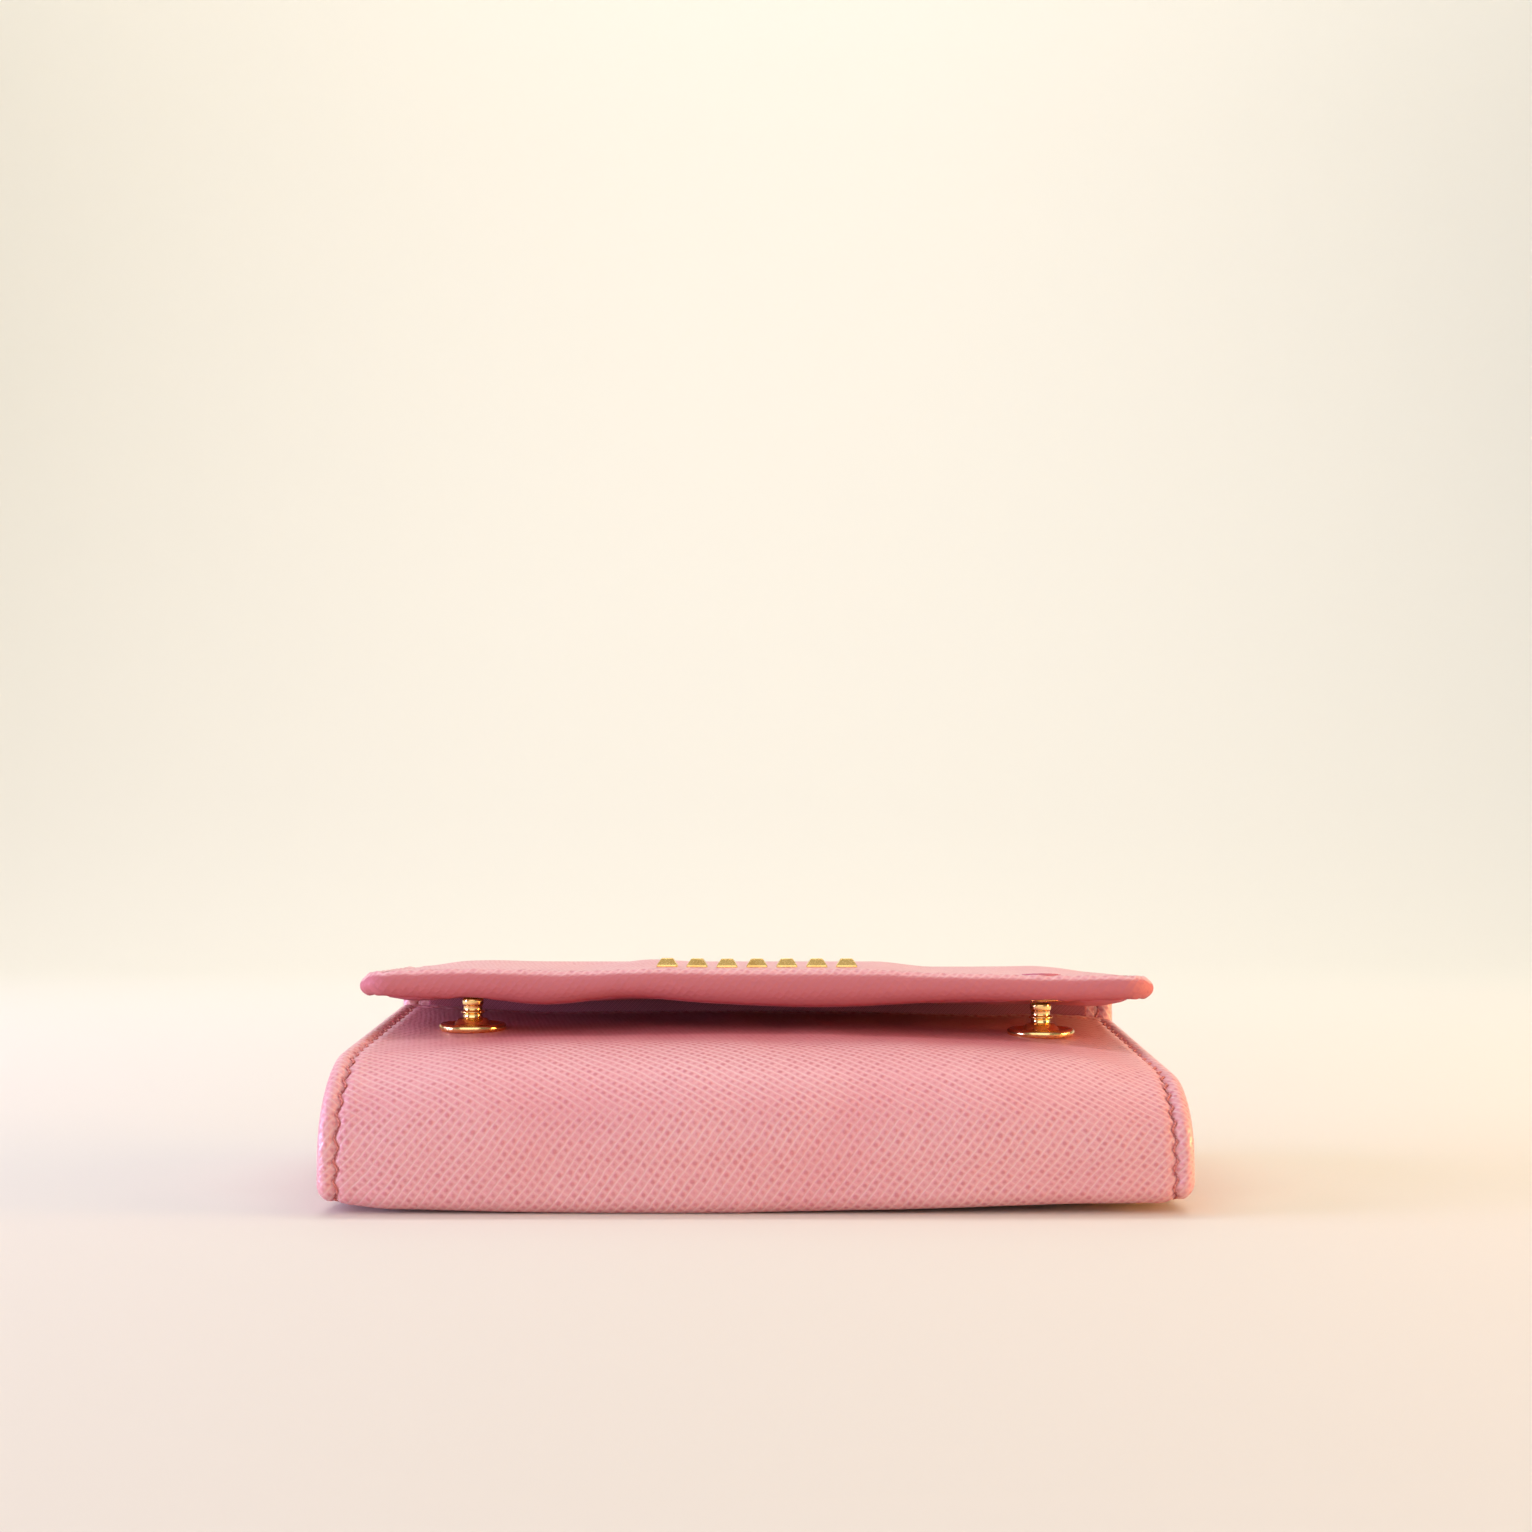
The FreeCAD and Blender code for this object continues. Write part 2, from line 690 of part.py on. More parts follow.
os.makedirs("parts", exist_ok=True)
for name, shape in nodes.items():
    shape.exportStep(f"parts/{name}.step")
    bounds = shape.BoundBox
    print(f"{name}: {len(shape.Solids)} solids, {shape.Volume:.1f} mm3, valid {shape.isValid()},"
          f" x {bounds.XMin:.2f}..{bounds.XMax:.2f}, y {bounds.YMin:.2f}..{bounds.YMax:.2f},"
          f" z {bounds.ZMin:.2f}..{bounds.ZMax:.2f}")
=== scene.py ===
"""Looks of a compact flap wallet: cross-hatched leather, seams, press studs, trim and lining.

The wallet lies on its back panel. X runs across it, -Y is the bottom fold, +Y the top spine and
+Z the flap's upper face. Shapes are worked out in millimetres and stored in metres.
"""

import logging
import math
from dataclasses import dataclass, field
from enum import Enum
from typing import Callable, Sequence

import bmesh
import bpy
from mathutils import Matrix, Vector, noise


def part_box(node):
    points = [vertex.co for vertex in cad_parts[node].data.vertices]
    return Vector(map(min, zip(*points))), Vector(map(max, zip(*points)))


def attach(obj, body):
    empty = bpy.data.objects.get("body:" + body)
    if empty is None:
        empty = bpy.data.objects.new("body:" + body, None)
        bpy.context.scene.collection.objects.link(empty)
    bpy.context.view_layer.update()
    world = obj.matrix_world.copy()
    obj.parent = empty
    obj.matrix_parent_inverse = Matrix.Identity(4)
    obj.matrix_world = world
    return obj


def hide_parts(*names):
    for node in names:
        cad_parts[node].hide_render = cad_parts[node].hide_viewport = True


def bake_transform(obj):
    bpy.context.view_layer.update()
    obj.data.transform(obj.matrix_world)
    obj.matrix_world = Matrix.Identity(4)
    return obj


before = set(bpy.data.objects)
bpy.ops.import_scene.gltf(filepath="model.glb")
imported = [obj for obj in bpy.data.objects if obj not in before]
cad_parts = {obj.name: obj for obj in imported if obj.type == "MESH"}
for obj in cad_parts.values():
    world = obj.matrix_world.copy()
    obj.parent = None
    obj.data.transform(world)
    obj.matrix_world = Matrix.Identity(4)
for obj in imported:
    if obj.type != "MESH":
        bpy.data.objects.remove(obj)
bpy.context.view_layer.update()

MM = 0.001
log = logging.getLogger("wallet")

Colour = tuple[float, float, float, float]
Point = tuple[float, float, float]
Place = Callable[[float, float, float], Vector]
Trace = Callable[[float, float], tuple[float, float]]
Amount = Callable[[float, float], float]


class Body(Enum):
    """The wallet's four moving bodies."""

    POUCH = "pouch"
    FRONT = "front_panel"
    SPINE = "top_spine"
    FLAP = "flap"


class Slot(Enum):
    """Material slot names, listed beside the pieces below but not read by anything."""

    LEATHER = "leather_outer"
    PLAIN = "leather_lining"
    CLOTH = "fabric_lining"
    THREAD = "thread"
    GOLD = "gold"
    STEEL = "steel"


# ---------------------------------------------------------------------------------------------
# Small helpers
# ---------------------------------------------------------------------------------------------


def smooth(value: float, low: float, high: float) -> float:
    """Smooth step from 0 at low to 1 at high."""
    t = min(1.0, max(0.0, (value - low) / (high - low)))
    return t * t * (3 - 2 * t)


def bump(value: float, middle: float, width: float) -> float:
    """Bell curve of height 1 about a middle."""
    return math.exp(-(((value - middle) / width) ** 2))


def curl(value: float, start: float, reach: float) -> float:
    """Curve that leaves 0 at a start, steepens, and is 1 a reach further on."""
    return max(0.0, (value - start) / reach) ** 1.5


def wave(x: float, y: float, seed: float) -> float:
    """Slow, repeatable noise from about -1 to 1 over a surface."""
    return noise.noise(Vector((x, y, seed)))


def even(value: float) -> Amount:
    """The same amount at every place."""
    return lambda u, v: value


def node_box(node: str) -> tuple[Vector, Vector]:
    """Lowest and highest corner of a CAD node, in millimetres."""
    low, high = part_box(node)
    return Vector(low) / MM, Vector(high) / MM


def steps(start: float, stop: float, size: float) -> list[float]:
    """Even steps no larger than a size, from start up to but without stop."""
    count = max(1, math.ceil((stop - start) / size - 1e-6))
    return [start + (stop - start) * i / count for i in range(count)]


def graded(*spans: tuple[float, float], end: float) -> list[float]:
    """Places along a line whose spacing changes from span to span.

    Args:
        spans: Start and spacing of each span, in order.
        end: Where the last span ends.

    Returns:
        The places, from the first start to the end.
    """
    starts = [s for s, _ in spans[1:]] + [end]
    places: list[float] = []
    for (start, size), stop in zip(spans, starts):
        places += steps(start, stop, size)
    return places + [end]


def edged(low: float, high: float, edge: float, size: float) -> list[float]:
    """Places from low to high, 0.3 mm apart within a distance of both edges and wider between."""
    return graded((low, 0.3), (low + edge, size), (high - edge, 0.3), end=high)


@dataclass(frozen=True)
class Contour:
    """How a height changes across the wallet, as a sum of plain forms, in millimetres.

    Attributes:
        steps: Start, end and height of each smooth step.
        curls: Start, reach and height of each curl.
        humps: Middle, width and height of each hump.
    """

    steps: tuple[Point, ...] = ()
    curls: tuple[Point, ...] = ()
    humps: tuple[Point, ...] = ()

    def at(self, x: float) -> float:
        """Height at one place."""
        forms = ((smooth, self.steps), (curl, self.curls), (bump, self.humps))
        return sum(height * form(x, a, b) for form, rows in forms for a, b, height in rows)


@dataclass(frozen=True)
class SeamLine:
    """A line of stitches near an edge, and the leather drawn in along it, in millimetres.

    Attributes:
        inset: Distance from the edge to the middle of the line.
        pitch: Length of a stitch and its gap.
        swing: How far the stitches slant off the line.
        skew: How much faster they slant one way than the other.
        groove: Depth of the crease that they lie in.
        puff: How far the leather swells beside the crease.
    """

    inset: float = 2.5
    pitch: float = 3.4
    swing: float = 0.24
    skew: float = -0.3
    groove: float = 0.30
    puff: float = 0.15

    def centre(self, along: float) -> float:
        """The crease's distance in from the edge at a place along the seam."""
        phase = 2 * math.pi * along / self.pitch
        return self.inset + self.swing * (math.sin(phase) + self.skew * math.sin(2 * phase))

    def relief(self, away: float, along: float) -> float:
        """How far the leather stands proud near the seam.

        Args:
            away: Distance in from the edge.
            along: Distance along the edge.

        Returns:
            Height, below 0 in the seam's crease.
        """
        if away > self.inset + 4:
            return 0.0
        swell = 0.5 - 0.5 * math.cos(2 * math.pi * along / self.pitch)
        crease = -(self.groove + 0.15 * (1 - swell)) * bump(away, self.centre(along), 0.30)
        dip = -0.10 * bump(away, self.inset, 1.0)
        outside = self.puff * (0.5 + 0.9 * swell) * bump(away, self.inset - 1.1, 0.70)
        inside = self.puff * 0.55 * (0.4 + swell) * bump(away, self.inset + 1.2, 0.9)
        return crease + dip + outside + inside


# ---------------------------------------------------------------------------------------------
# Node sketching
# ---------------------------------------------------------------------------------------------


@dataclass(frozen=True)
class Term:
    """A number output that plain arithmetic carries on through Math nodes."""

    sketch: "Sketch"
    socket: bpy.types.NodeSocket

    def __add__(self, other: object) -> "Term":
        """Sum of this and another term."""
        return self.sketch.math("ADD", self, other)

    def __sub__(self, other: object) -> "Term":
        """This less another term."""
        return self.sketch.math("SUBTRACT", self, other)

    def __rsub__(self, other: object) -> "Term":
        """Another term less this."""
        return self.sketch.math("SUBTRACT", other, self)

    def __mul__(self, other: object) -> "Term":
        """Product of this and another term."""
        return self.sketch.math("MULTIPLY", self, other)

    def __truediv__(self, other: object) -> "Term":
        """This divided by another term."""
        return self.sketch.math("DIVIDE", self, other)

    def __rtruediv__(self, other: object) -> "Term":
        """Another term divided by this."""
        return self.sketch.math("DIVIDE", other, self)


class Sketch:
    """Short hand for building one node tree."""

    def __init__(self, tree: bpy.types.NodeTree) -> None:
        """Keep the tree to add to."""
        self.tree = tree

    def add(self, kind: str, **values: object) -> bpy.types.Node:
        """Add a node and set its properties and its sockets.

        Args:
            kind: The node's type without its ShaderNode prefix.
            values: Properties by name; a name that is an input socket sets or links that socket.

        Returns:
            The new node.
        """
        made = self.tree.nodes.new("ShaderNode" + kind)
        for name, value in values.items():
            if hasattr(made, name):
                setattr(made, name, value)
            else:
                self.put(value, made.inputs[name.replace("_", " ")])
        return made

    def put(self, value: object, socket: bpy.types.NodeSocket) -> None:
        """Link a term or an output to a socket, or set the socket to a plain value.

        Args:
            value: What the socket is to hold.
            socket: An input.
        """
        value = value.socket if isinstance(value, Term) else value
        if isinstance(value, bpy.types.NodeSocket):
            self.tree.links.new(value, socket)
        else:
            socket.default_value = value

    def value(self, kind: str, output: int | str = 0, **values: object) -> Term:
        """One output of a new node, as a term."""
        return Term(self, self.add(kind, **values).outputs[output])

    def math(self, operation: str, *terms: object) -> Term:
        """Output of one Math node.

        Args:
            operation: The node's operation.
            terms: Up to three terms or numbers.

        Returns:
            The result.
        """
        made = self.add("Math", operation=operation)
        for term, socket in zip(terms, made.inputs):
            self.put(term, socket)
        return Term(self, made.outputs[0])

    def vector(self, operation: str, first: object, second: object = None) -> bpy.types.NodeSocket:
        """Output of one Vector Math node.

        Args:
            operation: The node's operation.
            first: A vector.
            second: Another vector, or the factor to scale by.

        Returns:
            The resulting vector.
        """
        made = self.add("VectorMath", operation=operation)
        self.put(first, made.inputs[0])
        if second is not None:
            self.put(second, made.inputs["Scale" if operation == "SCALE" else 1])
        return made.outputs[0]

    def remap(self, value: Term, low: float, high: float, to_low: float = 0.0,
              to_high: float = 1.0) -> Term:
        """Smoothly remap a value from one range to another.

        Args:
            value: The value.
            low: Start of its range.
            high: End of its range.
            to_low: Start of the new range.
            to_high: End of the new range.

        Returns:
            The new value.
        """
        made = self.add("MapRange", interpolation_type="SMOOTHSTEP")
        for term, socket in zip((value, low, high, to_low, to_high), made.inputs):
            self.put(term, socket)
        return Term(self, made.outputs[0])

    def mix(self, factor: Term, first: object, second: object) -> bpy.types.NodeSocket:
        """Mix two colours.

        Args:
            factor: Share of the second colour.
            first: A colour or its output.
            second: A colour or its output.

        Returns:
            The mixed colour.
        """
        made = self.add("Mix", data_type="RGBA")
        for value, socket in zip((factor, first, second), (0, 6, 7)):
            self.put(value, made.inputs[socket])
        return made.outputs[2]


class GroupSketch(Sketch):
    """A shader node group in the making, with named inputs and outputs."""

    def __init__(self, name: str, takes: dict[str, float | None], gives: Sequence[str]) -> None:
        """Start the group.

        Args:
            name: The group's name.
            takes: Inputs and their defaults; None stands for a vector.
            gives: Number outputs.
        """
        super().__init__(bpy.data.node_groups.new(name, "ShaderNodeTree"))
        sockets = self.tree.interface
        for socket, default in takes.items():
            kind = "NodeSocketVector" if default is None else "NodeSocketFloat"
            made = sockets.new_socket(socket, in_out="INPUT", socket_type=kind)
            if default is not None:
                made.default_value = default
        for socket in gives:
            sockets.new_socket(socket, in_out="OUTPUT", socket_type="NodeSocketFloat")
        self.inside = self.tree.nodes.new("NodeGroupInput")
        self.outside = self.tree.nodes.new("NodeGroupOutput")

    def take(self, name: str) -> Term:
        """One of the group's inputs."""
        return Term(self, self.inside.outputs[name])

    def give(self, name: str, value: Term) -> None:
        """Lead a value to one of the group's outputs."""
        self.put(value, self.outside.inputs[name])


class MaterialSketch(Sketch):
    """A material in the making, with its Principled shader."""

    def __init__(self, name: str) -> None:
        """Start the material.

        Args:
            name: The material's name.
        """
        self.material = bpy.data.materials.new(name)
        self.material.use_nodes = True
        super().__init__(self.material.node_tree)
        self.shader = next(n for n in self.tree.nodes if n.type == "BSDF_PRINCIPLED")

    def attribute(self, name: str) -> Term:
        """A value that the piece's mesh holds."""
        return self.value("Attribute", "Fac", attribute_name=name)

    def grouped(self, group: bpy.types.NodeTree, **values: object) -> Callable[[str], Term]:
        """Place a group, and return what looks up its outputs by name."""
        made = self.add("Group", node_tree=group, **values)
        return lambda name: Term(self, made.outputs[name])

    def finish(self, height: Term | None = None, strength: float = 1.0, distance: float = 0.0,
               **values: object) -> bpy.types.Material:
        """Set the shader's sockets and its fine relief.

        Args:
            height: Height of the relief, or None for a plain surface.
            strength: Strength of the relief.
            distance: Full height of the relief, in metres.
            values: The shader's other sockets by name.

        Returns:
            The material.
        """
        for name, value in values.items():
            self.put(value, self.shader.inputs[name.replace("_", " ")])
        if height is not None:
            raised = self.add("Bump", Strength=strength, Distance=distance, Height=height)
            self.put(raised.outputs[0], self.shader.inputs["Normal"])
        return self.material


# ---------------------------------------------------------------------------------------------
# Shared effects
# ---------------------------------------------------------------------------------------------


@dataclass(frozen=True)
class CrosshatchGrain:
    """Pressed cross-hatch grain: crossing ridges with a small round pit in every cell.

    Attributes:
        pitch: Size of a cell, in metres.
        angle: Turn of the ridges, in radians.
        wander: How far the ridges stray, in cells.
        drifts: Scale and share of each noise that leads them astray.
        ridge_flank: Where a ridge starts and is full, as distances from a cell's middle.
        weights: Height of each set of ridges where the leather leans fully, and where not at all.
        pit_size: Smallest pit, and how much larger the largest is, in cells.
        pit_depth: Shallowest pit, and how much deeper the deepest is.
    """

    pitch: float = 0.001
    angle: float = 0.95
    wander: float = 0.5
    drifts: tuple[tuple[float, float], ...] = ((0.16, 1.0), (0.9, 0.34))
    ridge_flank: tuple[float, float] = (0.26, 0.49)
    weights: tuple[tuple[float, float], ...] = ((1.0, 0.56), (0.40, 1.0))
    pit_size: tuple[float, float] = (0.23, 0.15)
    pit_depth: tuple[float, float] = (0.30, 0.70)

    def build(self) -> bpy.types.NodeTree:
        """Make the group.

        Returns:
            A group from a flat pattern's coordinates, in metres, to the grain's height, its pits
            and a slow mottle. Lean shifts the weight from one set of ridges to the other.
        """
        takes = {"Vector": None, "Pitch": self.pitch, "Angle": self.angle, "Wander": self.wander,
                 "Lean": 0.0}
        g = GroupSketch("crosshatch_grain", takes, ("Height", "Pits", "Mottle"))
        turn = g.add("VectorRotate", rotation_type="Z_AXIS", Vector=g.take("Vector"),
                     Angle=g.take("Angle") * -1.0)
        cells = moved = g.vector("SCALE", turn.outputs[0], 1.0 / g.take("Pitch"))
        flat = {"noise_dimensions": "2D", "Vector": cells}
        for scale, share in self.drifts:
            drift = g.add("TexNoise", Scale=scale, Detail=1.0, **flat)
            pull = g.vector("SCALE", drift.outputs["Color"], g.take("Wander") * share)
            moved = g.vector("ADD", moved, pull)
        apart = g.add("SeparateXYZ", Vector=moved)
        chance = g.value("TexWhiteNoise", "Value", noise_dimensions="2D",
                         Vector=g.vector("FLOOR", moved))
        away, ridges = [], []
        for axis, (start, stop) in enumerate(self.weights):
            part = g.math("FRACT", apart.outputs[axis])
            away.append(g.math("ABSOLUTE", part - 0.5))
            weight = g.take("Lean") * (start - stop) + stop
            ridges.append(g.remap(away[axis], *self.ridge_flank) * weight)
        fine = g.value("TexNoise", Scale=1.6, Detail=3.0, **flat)
        crossing = g.math("MAXIMUM", *ridges) + ridges[0] * ridges[1] * 0.25
        ridge = crossing * g.remap(fine, 0.25, 0.75, 0.70, 1.15)
        reach = g.math("SQRT", away[0] * away[0] + away[1] * away[1])
        size = chance * self.pit_size[1] + self.pit_size[0]
        depth = chance * self.pit_depth[1] + self.pit_depth[0]
        pit = (1.0 - g.remap(reach / size, 0.38, 1.0)) * depth
        g.give("Height", ridge * 0.55 + 0.35 - pit * 0.5)
        g.give("Pits", pit)
        g.give("Mottle", g.value("TexNoise", Scale=0.05, Detail=4.0, Roughness=0.6, **flat))
        return g.tree


def seam_group(line: SeamLine) -> bpy.types.NodeTree:
    """Crease and needle holes of a sewn seam.

    Args:
        line: The seam's sizes.

    Returns:
        A group from the distance in from an edge and the distance along it, in millimetres, to the
        crease's depth and the holes.
    """
    g = GroupSketch("seam_line", {"Away": 0.0, "Along": 0.0}, ("Crease", "Holes"))
    phase = g.take("Along") * (2 * math.pi / line.pitch)
    swing = g.math("SINE", phase) * line.swing
    skewed = swing + g.math("SINE", phase * 2.0) * (line.swing * line.skew)
    off = g.math("ABSOLUTE", g.take("Away") - (skewed + line.inset))
    beat = g.math("COSINE", phase)
    crease, near = 1.0 - g.remap(off, 0.03, 0.20), 1.0 - g.remap(off, 0.12, 0.34)
    g.give("Crease", crease * g.remap(beat, -1.0, 1.0, 0.55, 1.0))
    g.give("Holes", near * g.remap(beat, 0.90, 0.985))
    return g.tree


def twill_group() -> bpy.types.NodeTree:
    """Fine diagonal cords of a woven lining, with a slow mottle.

    Returns:
        The group's tree.
    """
    g = GroupSketch("twill_weave", {"Vector": None, "Pitch": 0.00034}, ("Height", "Mottle"))
    threads = g.vector("SCALE", g.take("Vector"), 1.0 / g.take("Pitch"))
    apart = g.add("SeparateXYZ", Vector=threads)
    x, y = Term(g, apart.outputs[0]), Term(g, apart.outputs[1])
    cord = g.math("ABSOLUTE", g.math("FRACT", x + y) - 0.5)
    knuckle = g.math("ABSOLUTE", g.math("FRACT", (x - y) * 0.5) - 0.5)
    g.give("Height", cord * 1.4 + knuckle * 0.6)
    g.give("Mottle", g.value("TexNoise", noise_dimensions="2D", Scale=0.04, Detail=3.0,
                             Vector=threads))
    return g.tree


# ---------------------------------------------------------------------------------------------
# Finishes
# ---------------------------------------------------------------------------------------------


@dataclass(frozen=True)
class GrainLeather:
    """Pressed, satin-lacquered leather whose grain follows the cut pattern's UV map, with painted
    shade where the flap shades it and in its seams.

    Attributes:
        grain: The grain's node group.
        seam: The seam's node group.
        name: The material's name.
        base: Colour between the ridges.
        ridge: Colour of the ridges and of worn edges.
        pit: Colour in the pits.
        shade: Colour of the slow mottle.
        crease: Colour of the painted shade in a seam's crease and its needle holes.
        painted_shade: Deep red painted as shade under the flap, on the lower half of its front
            edge and on the front panel before it.
        relief: Height of the grain, in metres.
    """

    grain: bpy.types.NodeTree
    seam: bpy.types.NodeTree
    name: str = "crosshatch_leather"
    base: Colour = (0.775, 0.332, 0.345, 1.0)
    ridge: Colour = (0.82, 0.455, 0.450, 1.0)
    pit: Colour = (0.56, 0.130, 0.165, 1.0)
    shade: Colour = (0.74, 0.240, 0.260, 1.0)
    crease: Colour = (0.42, 0.075, 0.075, 1.0)
    # Painted shade: the deep red that stands in for shade under and in front of the flap.
    painted_shade: Colour = (0.44, 0.020, 0.040, 1.0)
    relief: float = 0.00009

    def build(self) -> bpy.types.Material:
        """Make the material.

        Returns:
            The material.
        """
        s = MaterialSketch(self.name)
        worn, painted_shade = s.attribute("edge"), s.attribute("painted_shade")
        grain = s.grouped(self.grain, Vector=s.value("UVMap", uv_map="pattern"),
                          Lean=s.attribute("lean"))
        seam = s.grouped(self.seam, Away=s.attribute("away"), Along=s.attribute("along"))
        height, sewn = grain("Height"), s.math("MAXIMUM", seam("Crease"), seam("Holes"))
        colour = s.mix(s.remap(height, 0.30, 0.95), self.base, self.ridge)
        colour = s.mix(s.remap(grain("Mottle"), 0.35, 0.75, 0.0, 0.32), colour, self.shade)
        colour = s.mix(grain("Pits") * 0.58, colour, self.pit)
        # Painted shade: darkens and reddens the leather where the flap's shade falls.
        colour = s.mix(s.math("MAXIMUM", painted_shade * 1.2 - height * 0.18, 0.0), colour, self.painted_shade)
        colour = s.mix(worn * 0.30, colour, self.ridge)
        # Painted shade in the seam's crease and needle holes.
        colour = s.mix(sewn * 0.85, colour, self.crease)
        polished = s.remap(height, 0.0, 1.0, 0.58, 0.40) - worn * 0.14
        dull = s.math("MAXIMUM", sewn * 0.9, painted_shade * 0.7)
        return s.finish(
            height * s.remap(worn, 0.0, 1.0, 1.0, 0.55) - sewn * 0.8, 1.0, self.relief,
            Base_Color=colour, Roughness=s.math("MAXIMUM", polished, dull), Specular_IOR_Level=0.6,
            Coat_Weight=s.remap(height, 0.25, 0.95, 0.12, 0.50) * (1.0 - painted_shade * 0.8),
            Coat_Roughness=0.32,
        )


@dataclass(frozen=True)
class SmoothLeather:
    """Thin plain leather of the inner pieces, with a faint hair-cell grain."""

    name: str = "plain_leather"
    base: Colour = (0.66, 0.20, 0.25, 1.0)
    shade: Colour = (0.54, 0.14, 0.18, 1.0)

    def build(self) -> bpy.types.Material:
        """Make the material.

        Returns:
            The material.
        """
        s = MaterialSketch(self.name)
        place = s.value("TexCoord", "Object")
        slow = s.value("TexNoise", Scale=70.0, Detail=4.0, Vector=place)
        return s.finish(
            s.value("TexVoronoi", "Distance", Scale=2600.0, Vector=place), 0.6, 0.00004,
            Base_Color=s.mix(s.remap(slow, 0.3, 0.7), self.shade, self.base),
            Roughness=s.remap(slow, 0.2, 0.8, 0.60, 0.72),
        )


@dataclass(frozen=True)
class TwillCloth:
    """Woven lining whose cords follow the cut pattern's UV map."""

    group: bpy.types.NodeTree
    name: str = "twill_lining"
    base: Colour = (0.62, 0.20, 0.25, 1.0)
    shade: Colour = (0.42, 0.10, 0.14, 1.0)

    def build(self) -> bpy.types.Material:
        """Make the material.

        Returns:
            The material.
        """
        s = MaterialSketch(self.name)
        weave = s.grouped(self.group, Vector=s.value("UVMap", uv_map="pattern"))
        cloth = s.mix(s.remap(weave("Height"), 0.2, 0.9), self.shade, self.base)
        return s.finish(
            weave("Height"), 0.8, 0.00005, Sheen_Weight=0.25,
            Base_Color=s.mix(s.remap(weave("Mottle"), 0.3, 0.8, 0.0, 0.3), cloth, self.shade),
            Roughness=s.remap(weave("Height"), 0.0, 1.0, 0.9, 0.74),
        )


@dataclass(frozen=True)
class SewingThread:
    """Waxed, twisted thread."""

    name: str = "sewing_thread"
    base: Colour = (0.60, 0.15, 0.13, 1.0)
    light: Colour = (0.74, 0.26, 0.22, 1.0)

    def build(self) -> bpy.types.Material:
        """Make the material.

        Returns:
            The material.
        """
        s = MaterialSketch(self.name)
        strands = s.value("TexWave", "Fac", wave_type="BANDS", bands_direction="DIAGONAL",
                          Scale=900.0, Distortion=1.5, Vector=s.value("TexCoord", "Object"))
        return s.finish(
            strands, 0.7, 0.00005, Base_Color=s.mix(strands, self.base, self.light),
            Roughness=s.remap(strands, 0.0, 1.0, 0.7, 0.5),
        )


@dataclass(frozen=True)
class Metal:
    """Plated or bare metal with fine wear."""

    name: str
    base: Colour
    tarnish: Colour
    rough: float

    def build(self) -> bpy.types.Material:
        """Make the material.

        Returns:
            The material.
        """
        s = MaterialSketch(self.name)
        place = s.value("TexCoord", "Object")
        film = s.value("TexNoise", Scale=420.0, Detail=4.0, Vector=place)
        hairs = s.value("TexNoise", Scale=2400.0, Detail=5.0, Roughness=0.7, Vector=place)
        return s.finish(
            hairs, 0.25, 0.00002, Metallic=1.0,
            Base_Color=s.mix(s.remap(film, 0.45, 0.75, 0.0, 0.6), self.base, self.tarnish),
            Roughness=s.remap(hairs, 0.3, 0.8, self.rough, self.rough + 0.14),
        )


@dataclass(frozen=True)
class Paper:
    """Pale, matt studio paper."""

    name: str = "studio_paper"
    base: Colour = (0.80, 0.765, 0.665, 1.0)
    cloud: float = 0.985

    def build(self) -> bpy.types.Material:
        """Make the material.

        Returns:
            The material.
        """
        s = MaterialSketch(self.name)
        cloud = s.value("TexNoise", Scale=3.0, Detail=2.0, Vector=s.value("TexCoord", "Object"))
        deeper = (*(c * self.cloud for c in self.base[:3]), 1.0)
        return s.finish(Base_Color=s.mix(cloud, deeper, self.base), Roughness=0.85,
                        Specular_IOR_Level=0.2)


@dataclass
class Finishes:
    """Every finish of the wallet, made once."""

    leather: bpy.types.Material = field(init=False)
    plain: bpy.types.Material = field(init=False)
    cloth: bpy.types.Material = field(init=False)
    thread: bpy.types.Material = field(init=False)
    gold: bpy.types.Material = field(init=False)
    satin: bpy.types.Material = field(init=False)
    steel: bpy.types.Material = field(init=False)

    def __post_init__(self) -> None:
        """Build the shared groups and the materials that use them."""
        self.leather = GrainLeather(CrosshatchGrain().build(), seam_group(SeamLine())).build()
        self.plain = SmoothLeather().build()
        self.cloth = TwillCloth(twill_group()).build()
        self.thread = SewingThread().build()
        self.gold = Metal("polished_gold_plate", (1.0, 0.70, 0.30, 1.0),
                          (0.86, 0.50, 0.17, 1.0), 0.11).build()
        self.satin = Metal("satin_gold_plate", (0.98, 0.68, 0.25, 1.0),
                           (0.82, 0.48, 0.13, 1.0), 0.20).build()
        self.steel = Metal("spring_steel", (0.62, 0.62, 0.64, 1.0),
                           (0.45, 0.44, 0.44, 1.0), 0.25).build()


# ---------------------------------------------------------------------------------------------
# Cutting and forming panels
# ---------------------------------------------------------------------------------------------


